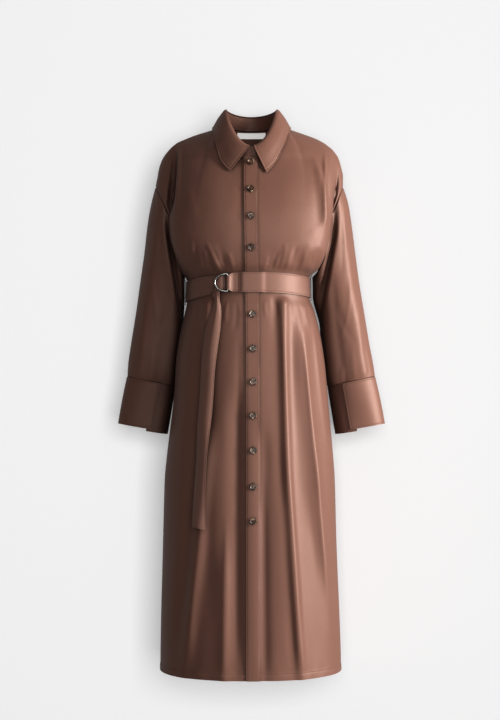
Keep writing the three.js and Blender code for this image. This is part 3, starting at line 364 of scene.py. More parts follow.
def bodicePoint(face, u, b):
    s = bodySizes
    sign = faceSign[face]
    share = np.abs(u)
    turnShare = bySide(u, s["turnLeft"], s["turnRight"])
    shareTurn = mixed(1, turnShare, smoothStep(b / 0.13))
    beltZ = beltHeight(face, u)
    foot = beltZ + s["beltWidth"] / 2
    toShoulder = (b**3.2)[..., None]
    target = topPoint(face, u, np.minimum(share, turnShare))
    z = mixed(foot, target[..., 2], 1 - (1 - b) ** 1.35)
    turnY = s["turnFront" if face == "front" else "turnBack"] * smoothStep(b / 0.15) * (1 - 0.3 * b)
    point = sectionPoint(face, u, np.minimum(share, shareTurn) / shareTurn, z, turnY, beltZ)
    point[..., :2] = mixed(point[..., :2], target[..., :2], toShoulder)
    t = np.clip((share - shareTurn) / np.maximum(1 - shareTurn, 1e-9), 0, 1)[..., None]
    hug = 4 + 24 * smoothStep((0.6 - b) / 0.4) * smoothStep(b / 0.1)

    def turnAt(start, end):
        leave, arrive = start.copy(), end.copy()
        leave[..., 1] -= sign * 9
        arrive[..., 1] += sign * hug
        return start * (1 - t) ** 3 + leave * 3 * t * (1 - t) ** 2 + arrive * 3 * t * t * (1 - t) + end * t**3

    atTop = turnAt(target, sideEdgePoint(face, u, np.ones_like(b)))
    arc = turnAt(point, sideEdgePoint(face, u, b)) + (topPoint(face, u, share) - atTop) * toShoulder
    return np.where((share <= shareTurn)[..., None], point, arc)


def bodyPoint(face, u, v):  # v is 0 at the hem, 1 and 2 at the belt's edges and 3 at the top
    u, v = np.broadcast_arrays(np.asarray(u, float), np.asarray(v, float))
    u, v = u.copy(), v.copy()
    middle = beltHeight(face, u)
    low = middle - bodySizes["beltWidth"] / 2
    z = np.where(v < 1, mixed(bodySizes["hem"], low, v), low + bodySizes["beltWidth"] * (v - 1))
    lower = sectionPoint(face, u, np.minimum(np.abs(u), 1), z, 0, middle)
    upper = bodicePoint(face, u, np.clip(v - 2, 0, 1))
    return np.where((v > 2)[..., None], upper, lower)


def unit(vectors):
    return vectors / np.maximum(np.linalg.norm(vectors, axis=-1, keepdims=True), 1e-9)


def bodyNormal(face, u, v):
    step = 0.004
    across = bodyPoint(face, u + step, v) - bodyPoint(face, u - step, v)
    up = bodyPoint(face, u, np.minimum(v + step, 3)) - bodyPoint(face, u, np.maximum(v - step, 0))
    return unit(np.cross(across, up)) * -faceSign[face]


def shareAt(face, x, v):  # share u at which the body reaches x on the row v
    x, v = np.broadcast_arrays(np.asarray(x, float), np.asarray(v, float))
    u = np.clip(x / 150, -0.6, 0.6)
    for _ in range(7):
        here = bodyPoint(face, u, v)[..., 0]
        slope = (bodyPoint(face, u + 0.003, v)[..., 0] - here) / 0.003
        u = u + np.clip((x - here) / np.maximum(slope, 40), -0.12, 0.12)
    return u


def placeOn(face, x, z):  # shares u and v at which the body passes x and z
    x, z = np.broadcast_arrays(np.asarray(x, float), np.asarray(z, float))
    s = bodySizes
    u, v = np.clip(x / 150, -0.6, 0.6), np.interp(z, (s["beltFront"], -200, s["shoulder"]), (2.01, 2.46, 3))
    for _ in range(10):
        foot = beltHeight(face, u) + s["beltWidth"] / 2
        low = foot - s["beltWidth"]
        below = np.where(z < low, (z - s["hem"]) / (low - s["hem"]), 1 + (z - low) / s["beltWidth"])
        v = np.where(z <= foot, np.clip(below, 0, 2), np.clip(v, 2.001, 3))
        here = bodyPoint(face, u, v)
        ahead = np.where(v > 2.99, -0.004, 0.004)
        across = (bodyPoint(face, u + 0.003, v) - here) / 0.003
        up = (bodyPoint(face, u, v + ahead) - here) / ahead[..., None]
        dx, dz = x - here[..., 0], z - here[..., 2]
        area = across[..., 0] * up[..., 2] - up[..., 0] * across[..., 2]
        area = np.where(np.abs(area) < 500, 500, area)
        u = u + np.clip((dx * up[..., 2] - up[..., 0] * dz) / area, -0.1, 0.1)
        v = v + np.clip((across[..., 0] * dz - across[..., 2] * dx) / area, -0.15, 0.15)
    offCloth = np.hypot(dx, dz) > 0.5
    return np.where(offCloth, np.clip(x / 150, -0.6, 0.6), u), np.where(offCloth, 3.0, np.clip(v, 0, 3))


# fine creases on the body
def strokeField(x, z, strokes):
    height = np.zeros_like(x)
    for x0, z0, x1, z1, bow, width, rise in strokes:
        length = math.hypot(x1 - x0, z1 - z0)
        ax, az = (x1 - x0) / length, (z1 - z0) / length
        along = ((x - x0) * ax + (z - z0) * az) / length
        inside = np.clip(along, 0, 1)
        off = (x - x0) * az - (z - z0) * ax - bow * 4 * inside * (1 - inside)
        fade = smoothStep((along + 0.02) / 0.3) * smoothStep((1.02 - along) / 0.3)
        height += rise * fade * bump(off, width * (0.75 + 0.5 * inside))
    return height


frontCreases = [  # start x and z, end x and z, bow, width and rise
    # gathers that leave the belt, above it
    (-128, -335, -134, -262, 3, 4, 1.6), (-116, -335, -121, -280, -2, 3, -1.4), (-96, -336, -104, -286, 2, 3.5, 1.5),
    (-80, -336, -100, -270, 4, 4, 1.7), (-60, -336, -80, -288, -3, 3, -1.6), (-40, -336, -52, -292, 2, 4, 1.2),
    (24, -336, 34, -300, 2, 3.5, 1.2), (44, -336, 60, -290, -3, 3.5, -1.6), (60, -336, 74, -270, 3, 4, 1.5),
    (84, -338, 100, -280, -2, 3.2, -1.5), (104, -340, 118, -286, 2, 3.5, 1.6), (122, -342, 140, -290, 3, 3.5, 1.3),
    # pulls across the chest, from the armholes and the collar
    (-168, -210, -120, -268, 8, 9, 0.7), (-160, -250, -112, -300, 8, 7, 0.7), (-150, -140, -128, -226, -6, 10, 0.6),
    (164, -205, 118, -262, -8, 8, 0.7), (158, -250, 118, -300, -8, 7, 0.6), (-100, -60, -142, -112, 6, 12, 0.7),
    (104, -56, 140, -106, -6, 12, 0.6), (20, -130, 30, -230, 4, 10, -0.5), (-24, -130, -34, -240, -4, 11, -0.6),
    # the bright fold beside each armhole and the groove outside it
    (164, -60, 163, -255, 3, 4.5, 3.8), (186, -50, 194, -210, 3, 8, -2.5), (-160, -40, -170, -225, -3, 5, 3.6),
    (-173, -40, -184, -215, -3, 7, -6.5),
    # gathers that leave the belt, below it
    (-130, -404, -138, -450, -3, 4, 1), (-112, -402, -120, -470, 3, 4, -1), (-96, -400, -102, -450, -2, 3.5, 1),
    (-52, -398, -56, -450, 2, 4, 0.9), (-34, -398, -38, -470, -3, 5, -0.9), (30, -396, 34, -440, 3, 3.5, 1.2),
    (50, -398, 54, -440, -3, 4, -0.7), (88, -400, 92, -450, 3, 4, 0.9), (104, -402, 112, -470, -3, 5, -1),
    (118, -404, 128, -460, 3, 4, 1),
    # long soft drops of the skirt
    (66, -392, 78, -880, -3, 6, 1.8), (76, -700, 106, -1290, -3, 6.5, 2), (112, -470, 151, -860, 0, 5, 2.4),
    (137, -700, 174, -1120, 0, 5.5, 2.2), (134, -420, 180, -790, 4, 5, 1.8), (-54, -860, -60, -1260, 0, 7, 2),
    (93, -420, 117, -900, 0, 15, 2.6), (112, -820, 150, -1290, 0, 15, 2.2), (58, -760, 76, -1250, 0, 12, 1.2),
    (-150, -520, -172, -1180, -8, 12, 1.2), (-84, -560, -92, -1120, 8, 13, -1.4), (-26, -420, -30, -1240, 2, 8, -1.6),
    (25, -760, 27, -1290, 0, 8, -3.4), (-120, -820, -130, -1210, 6, 9, 1),
]
backCreases = [
    (-120, -340, -128, -276, 3, 4, 1.5), (-96, -340, -110, -286, -3, 4, -1.5), (-64, -340, -70, -280, 3, 4, 1.5),
    (-26, -340, -30, -290, -2, 4, -1.3), (8, -340, 10, -284, 2, 4, 1.4), (44, -340, 52, -286, -3, 4, -1.5),
    (84, -342, 92, -280, 3, 4, 1.5), (110, -344, 124, -290, 3, 4, 1.3), (-150, -200, -100, -262, 8, 9, 1.5),
    (150, -206, 102, -268, -8, 9, 1.5), (-60, -60, -84, -180, -8, 15, 1.3), (64, -64, 86, -186, 8, 15, 1.3),
    (-8, -40, -4, -190, 3, 12, -1), (-118, -404, -130, -490, 3, 4.5, 1.5), (-84, -402, -92, -500, -3, 4.5, -1.5),
    (-46, -402, -48, -480, 3, 4.5, 1.5), (-8, -402, -6, -500, -2, 5, -1.3), (30, -402, 36, -480, 3, 4.5, 1.4),
    (74, -404, 84, -500, -3, 4.5, -1.6), (112, -406, 124, -490, 3, 4.5, 1.5), (-110, -560, -120, -1180, 8, 11, 1.6),
    (-50, -620, -54, -1190, -6, 11, -1.5), (4, -560, 8, -1190, 5, 10, 1.5), (58, -640, 70, -1190, 5, 10, -1.4),
    (110, -560, 130, -1180, -8, 11, 1.6), (150, -600, 170, -1100, 8, 10, -1.4),
]


def softRipple(x, z, seedShift):
    height = np.zeros_like(x)
    for k, (wx, wz, rise) in enumerate([(0.031, 0.009, 0.35), (0.052, -0.013, 0.22), (0.083, 0.017, 0.12), (0.021, 0.024, 0.3), (0.12, -0.022, 0.08)]):
        height += rise * np.sin(wx * x + wz * z + seedShift + 1.7 * k + 1.2 * np.sin(0.006 * z + k))
    return height


def fineRelief(face, x, z, u):
    beltZ = beltHeight(face, u)
    free = smoothStep((np.abs(z - beltZ) - bodySizes["beltWidth"] / 2) / 14)
    strokes = strokeField(x, z, frontCreases if face == "front" else backCreases)
    height = strokes + softRipple(x, z, 0.4 if face == "front" else 2.9)
    edge = smoothStep((1 - np.abs(u)) / 0.06)
    calm = 1 - 0.75 * bump(x - 1, 26) if face == "front" else 1
    return height * free * edge * calm * smoothStep((-14 - z) / 60)


def clothPoint(face, u, v, lift=0):
    point = bodyPoint(face, u, v)
    height = fineRelief(face, point[..., 0], point[..., 2], np.asarray(u) + 0 * point[..., 0])
    return point + bodyNormal(face, u, v) * (height + lift)[..., None]


print("body form ready")


# meshes
def gridNormals(grid, closed, flip):
    across = np.roll(grid, -1, 1) - np.roll(grid, 1, 1)
    if not closed:
        across[:, 0] = grid[:, 1] - grid[:, 0]
        across[:, -1] = grid[:, -1] - grid[:, -2]
    return unit(np.cross(across, np.gradient(grid, axis=0))) * (-1 if flip else 1)


def distances(grid, closed):
    wide = np.concatenate([grid, grid[:, :1]], 1) if closed else grid
    stepAcross = np.linalg.norm(np.diff(wide, axis=1), axis=-1)
    stepAlong = np.linalg.norm(np.diff(wide, axis=0), axis=-1)
    zeroColumn, zeroRow = np.zeros((wide.shape[0], 1)), np.zeros((1, wide.shape[1]))
    across = np.concatenate([zeroColumn, np.cumsum(stepAcross, 1)], 1)
    along = np.concatenate([zeroRow, np.cumsum(stepAlong, 0)], 0)
    return across, along


def edgeMap(across, along, edges):
    far = np.full(across.shape, 900.0)
    best, place = far.copy(), along.copy()
    choices = {
        "first": (across, along), "last": (across[:, -1:] - across, along),
        "low": (along, across), "high": (along[-1:] - along, across),
    }
    for edge in edges:
        distance, run = choices[edge]
        nearer = distance < best
        best, place = np.where(nearer, distance, best), np.where(nearer, run, place)
    return np.stack([place, best], -1)


def clothShell(name, grid, thickness, material, closed=False, flip=False, edges=(), sharp=50):
    rows, cols = grid.shape[:2]
    normals = gridNormals(grid, closed, flip)
    inner = grid - normals * thickness
    points = np.concatenate([grid.reshape(-1, 3), inner.reshape(-1, 3)]) * 0.001
    under = rows * cols
    lastCol = cols if closed else cols - 1
    i, j = np.meshgrid(np.arange(rows - 1), np.arange(lastCol), indexing="ij")
    i, j = i.ravel(), j.ravel()
    k = (j + 1) % cols
    a, b, c, d = i * cols + j, i * cols + k, (i + 1) * cols + k, (i + 1) * cols + j
    outerFaces, innerFaces = np.stack([a, b, c, d], 1), np.stack([d, c, b, a], 1) + under
    cornerRows = np.stack([i, i, i + 1, i + 1], 1)
    cornerCols = np.stack([j, j + 1, j + 1, j], 1)
    faces = [outerFaces, innerFaces]
    rowParts, colParts = [cornerRows, cornerRows[:, ::-1]], [cornerCols, cornerCols[:, ::-1]]
    n = np.arange(lastCol)
    m = (n + 1) % cols
    top = (rows - 1) * cols
    faces += [np.stack([under + n, under + m, m, n], 1), np.stack([top + n, top + m, under + top + m, under + top + n], 1)]
    for row in (0, rows - 1):
        order = [n, n + 1, n + 1, n]
        rowParts.append(np.full((lastCol, 4), row))
        colParts.append(np.stack(order, 1))
    if not closed:
        r = np.arange(rows - 1)
        first, second = r * cols, r * cols + cols - 1
        faces += [np.stack([first, first + cols, under + first + cols, under + first], 1)]
        faces += [np.stack([second + cols, second, under + second, under + second + cols], 1)]
        rowParts += [np.stack([r, r + 1, r + 1, r], 1), np.stack([r + 1, r, r, r + 1], 1)]
        colParts += [np.zeros((rows - 1, 4), int), np.full((rows - 1, 4), cols - 1)]
    faces, cornerRows, cornerCols = np.concatenate(faces), np.concatenate(rowParts), np.concatenate(colParts)
    if flip:
        faces, cornerRows, cornerCols = faces[:, ::-1], cornerRows[:, ::-1], cornerCols[:, ::-1]
    mesh = bpy.data.meshes.new(name)
    mesh.from_pydata(points.tolist(), [], faces.tolist())
    across, along = distances(grid, closed)
    layers = {"cloth": np.stack([across, along], -1), "edge": edgeMap(across, along, edges)}
    for layerName, values in layers.items():
        layer = mesh.uv_layers.new(name=layerName)
        flat = values[cornerRows.ravel(), cornerCols.ravel()] * 0.001
        layer.data.foreach_set("uv", flat.astype(np.float32).ravel())
    mesh.shade_smooth()
    mesh.set_sharp_from_angle(angle=math.radians(sharp))
    mesh.materials.append(material)
    piece = bpy.data.objects.new(name, mesh)
    bpy.context.scene.collection.objects.link(piece)
    return piece


def settle(piece, slot, *nodes):
    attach(piece, "root")
    if nodes:
        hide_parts(*nodes)
    return piece


# materials
def newGroup(name, inputs, outputs):
    group = bpy.data.node_groups.new(name, "ShaderNodeTree")
    kinds = {"v": "NodeSocketVector", "c": "NodeSocketColor", "f": "NodeSocketFloat"}
    for socketName, kind, value in inputs:
        made = group.interface.new_socket(name=socketName, in_out="INPUT", socket_type=kinds[kind])
        if value is not None:
            made.default_value = value
    for socketName, kind in outputs:
        group.interface.new_socket(name=socketName, in_out="OUTPUT", socket_type=kinds[kind])
    start, end = group.nodes.new("NodeGroupInput"), group.nodes.new("NodeGroupOutput")
    return group, start.outputs, end.inputs


def linked(tree, value, socket):
    if isinstance(value, bpy.types.NodeSocket):
        tree.links.new(value, socket)
    elif value is not None:
        socket.default_value = value


def math1(tree, operation, a, b=None, c=None, clamped=False):
    node = tree.nodes.new("ShaderNodeMath")
    node.operation = operation
    node.use_clamp = clamped
    for k, value in enumerate((a, b, c)):
        linked(tree, value, node.inputs[k])
    return node.outputs[0]


def mixColour(tree, factor, a, b, blend="MIX"):
    node = tree.nodes.new("ShaderNodeMix")
    node.data_type = "RGBA"
    node.blend_type = blend
    linked(tree, factor, node.inputs["Factor"])
    linked(tree, a, node.inputs["A"])
    linked(tree, b, node.inputs["B"])
    return node.outputs["Result"]


def noiseAt(tree, vector, scale, detail=2, stretch=None):
    if stretch:
        mapping = tree.nodes.new("ShaderNodeMapping")
        mapping.inputs["Scale"].default_value = stretch
        tree.links.new(vector, mapping.inputs["Vector"])
        vector = mapping.outputs["Vector"]
    noise = tree.nodes.new("ShaderNodeTexNoise")
    linked(tree, vector, noise.inputs["Vector"])
    linked(tree, scale, noise.inputs["Scale"])
    noise.inputs["Detail"].default_value = detail
    return noise.outputs["Fac"]


def uvFrom(tree, layer):
    node = tree.nodes.new("ShaderNodeUVMap")
    node.uv_map = layer
    return node.outputs["UV"]


def makeWeaveGroup():
    group, given, made = newGroup(
        "satinWeave",
        [("Place", "v", None), ("Thread Pitch", "f", 0.0005), ("Cloth Color", "c", None), ("Pale Color", "c", None), ("Mottle", "f", 0.3)],
        [("Color", "c"), ("Roughness", "f"), ("Height", "f")],
    )
    place = given["Place"]
    per = math1(group, "DIVIDE", 1.0, given["Thread Pitch"])
    scaled = group.nodes.new("ShaderNodeVectorMath")
    scaled.operation = "SCALE"
    linked(group, place, scaled.inputs[0])
    linked(group, per, scaled.inputs["Scale"])
    parts = group.nodes.new("ShaderNodeSeparateXYZ")
    linked(group, scaled.outputs["Vector"], parts.inputs[0])
    warp = math1(group, "SINE", math1(group, "MULTIPLY", parts.outputs["X"], 6.2832))
    slope = math1(group, "ADD", math1(group, "MULTIPLY", parts.outputs["Y"], 0.2), parts.outputs["X"])
    twill = math1(group, "SINE", math1(group, "MULTIPLY", slope, 6.2832))
    slub = noiseAt(group, place, 1.0, 3, (900, 60, 1))
    thread = math1(group, "MULTIPLY_ADD", warp, 0.35, math1(group, "MULTIPLY_ADD", twill, 0.2, slub))
    cloud = noiseAt(group, place, 9.0, 3)
    grain = noiseAt(group, place, 1.0, 2, (260, 90, 1))
    tone = math1(group, "MULTIPLY_ADD", math1(group, "SUBTRACT", cloud, 0.5), 1.2, math1(group, "SUBTRACT", grain, 0.5))
    share = math1(group, "MULTIPLY_ADD", tone, given["Mottle"], 0.5, clamped=True)
    linked(group, mixColour(group, share, given["Cloth Color"], given["Pale Color"]), made["Color"])
    linked(group, math1(group, "MULTIPLY_ADD", tone, 0.12, 0.0), made["Roughness"])
    linked(group, thread, made["Height"])
    return group


def makeStitchGroup():
    group, given, made = newGroup(
        "stitchLine",
        [("Edge Place", "v", None), ("Offset", "f", 0.004), ("Pitch", "f", 0.0028), ("Width", "f", 0.0009)],
        [("Thread", "f"), ("Groove", "f")],
    )
    parts = group.nodes.new("ShaderNodeSeparateXYZ")
    linked(group, given["Edge Place"], parts.inputs[0])
    off = math1(group, "ABSOLUTE", math1(group, "SUBTRACT", parts.outputs["Y"], given["Offset"]))
    near = math1(group, "DIVIDE", off, given["Width"])
    line = math1(group, "SUBTRACT", 1.0, near, clamped=True)
    phase = math1(group, "FRACT", math1(group, "DIVIDE", parts.outputs["X"], given["Pitch"]))
    dash = math1(group, "LESS_THAN", math1(group, "ABSOLUTE", math1(group, "SUBTRACT", phase, 0.5)), 0.36)
    linked(group, math1(group, "MULTIPLY", line, dash), made["Thread"])
    wide = math1(group, "SUBTRACT", 1.0, math1(group, "DIVIDE", near, 2.4), clamped=True)
    linked(group, wide, made["Groove"])
    return group


weaveGroup, stitchGroup = makeWeaveGroup(), makeStitchGroup()


def placeGroup(tree, group, **values):
    node = tree.nodes.new("ShaderNodeGroup")
    node.node_tree = group
    for key, value in values.items():
        linked(tree, value, node.inputs[key.replace("_", " ")])
    return node.outputs


def satinMaterial(name, look):
    material = bpy.data.materials.new(name)
    material.use_nodes = True
    tree = material.node_tree
    satin = tree.nodes["Principled BSDF"]
    satin.inputs["Metallic"].default_value = look.get("metal", 0.0)
    satin.inputs["Sheen Weight"].default_value = look["sheen"]
    satin.inputs["Sheen Roughness"].default_value = 0.45
    satin.inputs["Sheen Tint"].default_value = (*look["sheenTint"], 1)
    satin.inputs["Specular IOR Level"].default_value = look["gloss"]
    satin.inputs["Specular Tint"].default_value = (*look["glossTint"], 1)
    satin.inputs["Emission Color"].default_value = (*look["pale"], 1)
    # painted light: emission that makes the piece glow, used for the neck label
    satin.inputs["Emission Strength"].default_value = look.get("paintedGlow", 0.0)
    weave = placeGroup(
        tree, weaveGroup, Place=uvFrom(tree, "cloth"), Thread_Pitch=look["thread"],
        Cloth_Color=(*look["deep"], 1), Pale_Color=(*look["pale"], 1), Mottle=look["mottle"],
    )
    colour, height = weave["Color"], weave["Height"]
    bumpNode = tree.nodes.new("ShaderNodeBump")
    bumpNode.inputs["Distance"].default_value = 0.00006
    bumpNode.inputs["Strength"].default_value = look["weaveDepth"]
    linked(tree, height, bumpNode.inputs["Height"])
    normal = bumpNode.outputs["Normal"]
    if "stitch" in look:
        stitch = placeGroup(tree, stitchGroup, Edge_Place=uvFrom(tree, "edge"), Offset=look["stitch"], Pitch=0.0028, Width=0.0007)
        # painted shade: the cloth is darkened along the stitch groove; the paler thread is the thread's own colour
        colour = mixColour(tree, math1(tree, "MULTIPLY", stitch["Groove"], 0.4), colour, (*[c * 0.45 for c in look["deep"]], 1))
        colour = mixColour(tree, math1(tree, "MULTIPLY", stitch["Thread"], 0.7), colour, (*[min(c * 1.25, 1) for c in look["pale"]], 1))
        groove = tree.nodes.new("ShaderNodeBump")
        groove.inputs["Distance"].default_value = 0.0005
        groove.inputs["Strength"].default_value = 0.8
        depth = math1(tree, "SUBTRACT", stitch["Thread"], stitch["Groove"])
        linked(tree, depth, groove.inputs["Height"])
        linked(tree, normal, groove.inputs["Normal"])
        normal = groove.outputs["Normal"]
    if look["shade"] > 0:  # painted shade: the cloth's colour is darkened where folds and pieces lie close together
        paintedShadeAO = tree.nodes.new("ShaderNodeAmbientOcclusion")
        paintedShadeAO.samples = 8
        paintedShadeAO.inputs["Distance"].default_value = look["shadeReach"]
        paintedShadeOpen = math1(tree, "POWER", paintedShadeAO.outputs["AO"], look["shade"])
        colour = mixColour(tree, paintedShadeOpen, (*[c * 0.12 for c in look["deep"]], 1), colour)
    linked(tree, colour, satin.inputs["Base Color"])
    linked(tree, math1(tree, "ADD", weave["Roughness"], look["rough"]), satin.inputs["Roughness"])
    linked(tree, normal, satin.inputs["Normal"])
    return material


satinLook = {
    "deep": (0.19, 0.082, 0.056), "pale": (0.225, 0.1, 0.07), "mottle": 0.42, "thread": 0.0007, "weaveDepth": 0.55,
    # strength and reach of the painted shade that darkens the cloth's colour in close folds
    "shade": 1.6, "shadeReach": 0.09,
    "rough": 0.47, "sheen": 0.1, "sheenTint": (1, 0.8, 0.72), "gloss": 0.5, "glossTint": (1, 0.82, 0.73), "metal": 0.1,
}
dressSatin = satinMaterial("dressSatin", {**satinLook, "stitch": 0.014})
sleeveSatin = satinMaterial("sleeveSatin", satinLook)
bandSatin = satinMaterial("bandSatin", {**satinLook, "stitch": 0.0025})
collarSatin = satinMaterial("collarSatin", {**satinLook, "stitch": 0.0045})
cuffSatin = satinMaterial("cuffSatin", {**satinLook, "stitch": 0.0035})
beltSatin = satinMaterial("beltSatin", {**satinLook, "stitch": 0.003, "deep": (0.23, 0.108, 0.078), "pale": (0.27, 0.13, 0.095)})
# the label glows a little as painted light, so that it stays white in the collar's shade
labelSatin = satinMaterial("labelSatin", {
    **satinLook, "deep": (0.8, 0.79, 0.76), "pale": (0.88, 0.87, 0.84), "sheenTint": (1, 1, 1), "glossTint": (1, 1, 1),
    "metal": 0, "gloss": 0.5, "paintedGlow": 0.5, "shade": 0,
})


def makeMetal():
    material = bpy.data.materials.new("polishedRing")
    material.use_nodes = True
    tree = material.node_tree
    metal = tree.nodes["Principled BSDF"]
    metal.inputs["Metallic"].default_value = 1
    coord = tree.nodes.new("ShaderNodeTexCoord").outputs["Object"]
    scratch = noiseAt(tree, coord, 1.0, 3, (900, 900, 90))
    tone = tree.nodes.new("ShaderNodeValToRGB")
    tone.color_ramp.elements[0].color = (0.56, 0.55, 0.53, 1)
    tone.color_ramp.elements[1].color = (0.78, 0.77, 0.75, 1)
    linked(tree, scratch, tone.inputs["Fac"])
    linked(tree, tone.outputs["Color"], metal.inputs["Base Color"])
    linked(tree, math1(tree, "MULTIPLY_ADD", scratch, 0.12, 0.1), metal.inputs["Roughness"])
    return material


def makeHorn():
    material = bpy.data.materials.new("mottledHorn")
    material.use_nodes = True
    tree = material.node_tree
    horn = tree.nodes["Principled BSDF"]
    horn.inputs["Coat Weight"].default_value = 0.25
    horn.inputs["Coat Roughness"].default_value = 0.12
    coord = tree.nodes.new("ShaderNodeTexCoord").outputs["Object"]
    cloud = noiseAt(tree, coord, 210.0, 3)
    tone = tree.nodes.new("ShaderNodeValToRGB")
    stops = [(0.42, (0.02, 0.009, 0.006)), (0.52, (0.06, 0.026, 0.014)), (0.6, (0.22, 0.12, 0.065)), (0.68, (0.6, 0.45, 0.31))]
    ramp = tone.color_ramp
    ramp.elements[0].position, ramp.elements[1].position = stops[0][0], stops[-1][0]
    ramp.elements[0].color, ramp.elements[1].color = (*stops[0][1], 1), (*stops[-1][1], 1)
    for place, colour in stops[1:-1]:
        ramp.elements.new(place).color = (*colour, 1)
    linked(tree, cloud, tone.inputs["Fac"])
    linked(tree, tone.outputs["Color"], horn.inputs["Base Color"])
    linked(tree, math1(tree, "MULTIPLY_ADD", cloud, 0.15, 0.16), horn.inputs["Roughness"])
    return material


ringMetal, buttonHorn = makeMetal(), makeHorn()
print("materials ready")

# fronts and back
panelSizes = {"skirtRows": 168, "beltRows": 8, "bodiceRows": 96, "halfColumns": 84, "thickness": 0.7, "hemFold": 14}
bandSizes = {"half": 15, "lift": 1.7, "driftTop": -2, "driftHem": 3.5, "wall": 1.5, "columns": 13}


def bandMiddle(z):
    return mixed(bandSizes["driftTop"], bandSizes["driftHem"], smoothStep((-86 - z) / 500))


def bodyRowPlaces():
    p = panelSizes
    skirt = 1 - (1 - np.arange(p["skirtRows"]) / p["skirtRows"]) ** 1.08
    belt = 1 + np.arange(p["beltRows"]) / p["beltRows"]
    bodice = 2 + np.arange(p["bodiceRows"] + 1) / p["bodiceRows"]
    return np.concatenate([skirt, belt, bodice])


def seamDip(points, u, v):  # the cloth sinks towards the side seams, the armholes and the shoulder seams
    side = bump((1 - np.abs(u)) * 260, 3.2) * smoothStep((3.02 - v) * 3)
    top = bump((3 - v) * 190, 3.2) * smoothStep((np.abs(u) - bodySizes["neckShare"]) * 30)
    return -0.9 * np.maximum(side, top)


def hemRelief(points, u, v):
    up = points[..., 2] - bodySizes["hem"]
    folded = 1 - smoothStep((up - panelSizes["hemFold"] + 1) / 2.5)
    pucker = 0.35 * np.sin(points[..., 0] * 0.21 + 2 * np.sin(points[..., 0] * 0.033)) * bump(up - panelSizes["hemFold"], 7)
    return 0.7 * folded + pucker


def panelGrid(face, u, v):
    points = bodyPoint(face, u, v)
    lift = seamDip(points, u, v) + hemRelief(points, u, v)
    return clothPoint(face, u, v, lift)


def makeFront(name, sign, node):
    places = bodyRowPlaces()
    cut = -8.4 if sign > 0 else -9.2
    middle = bodyPoint("front", 0 * places, places)[..., 2]
    start = shareAt("front", bandMiddle(middle) + cut, places)
    t = np.arange(panelSizes["halfColumns"] + 1) / panelSizes["halfColumns"]
    u = mixed(start[:, None], sign, t[None, :])
    v = places[:, None] + 0 * u
    piece = clothShell(name, panelGrid("front", u, v), panelSizes["thickness"], dressSatin, flip=sign < 0, edges=("low",))
    return settle(piece, "dress_satin", node)


frontLeft = makeFront("frontLeft", 1, "front_left")
frontRight = makeFront("frontRight", -1, "front_right")


def makeBack():
    places = bodyRowPlaces()
    n = panelSizes["halfColumns"]
    u = (np.arange(-n, n + 1) / n)[None, :] + 0 * places[:, None]
    v = places[:, None] + 0 * u
    piece = clothShell("backPanel", panelGrid("back", u, v), panelSizes["thickness"], dressSatin, flip=True, edges=("low",))
    return settle(piece, "dress_satin", "back")


back = makeBack()
print("fronts and back made")


# button band
def makeBand():
    b = bandSizes
    places = bodyRowPlaces()
    middle = bodyPoint("front", 0 * places, places)[..., 2]
    t = np.linspace(-1, 1, b["columns"])
    u = shareAt("front", bandMiddle(middle)[:, None] + t * b["half"], places[:, None] + 0 * t)
    v = places[:, None] + 0 * u
    wave = 0.35 * np.sin(middle * 0.045) + 0.25 * np.sin(middle * 0.083 + 1)
    free = smoothStep((t - 0.7) / 0.3)
    lift = b["lift"] + bodySizes["wall"] + 0.35 * bump(t[None, :] - 0.86, 0.12) - 0.5 * bump(t[None, :] + 1, 0.16) + wave[:, None] * free * 0.6
    piece = clothShell("buttonBand", clothPoint("front", u, v, lift), b["wall"], bandSatin, edges=("first", "last"))
    return settle(piece, "band_satin", "button_band")


band = makeBand()
print("button band made")

# buttons and buttonholes
buttonSizes = {
    "radius": 7.4, "height": 2.8, "rim": 1.3, "dish": 0.55, "holeRadius": 0.85, "holeOffset": 1.75, "holeDepth": 1.1,
    "heights": [-95, -157, -216, -284, -429, -504, -576, -649, -724, -802, -876],
    "turns": [12, 40, 75, 20, 55, 8, 33, 64, 28, 80, 47],
    "holeLength": 18, "holeWidth": 2.2,
}


def buttonFrame(z):
    x = bandMiddle(np.array(z, float))
    u, v = placeOn("front", x, z)
    out = bodyNormal("front", u, v)
    point = clothPoint("front", u, v, bandSizes["lift"] + bodySizes["wall"])
    right = unit(np.cross(np.array([0, 0, 1.0]), -out))
    right = right if right[0] > 0 else -right
    up = unit(np.cross(out, right))
    up = up if up[2] > 0 else -up
    return point, right, up, out


def meshPiece(name, points, faces, material, sharp=40):
    mesh = bpy.data.meshes.new(name)
    mesh.from_pydata((np.asarray(points) * 0.001).tolist(), [], [list(map(int, f)) for f in faces])
    mesh.shade_smooth()
    mesh.set_sharp_from_angle(angle=math.radians(sharp))
    mesh.materials.append(material)
    piece = bpy.data.objects.new(name, mesh)
    bpy.context.scene.collection.objects.link(piece)
    return piece


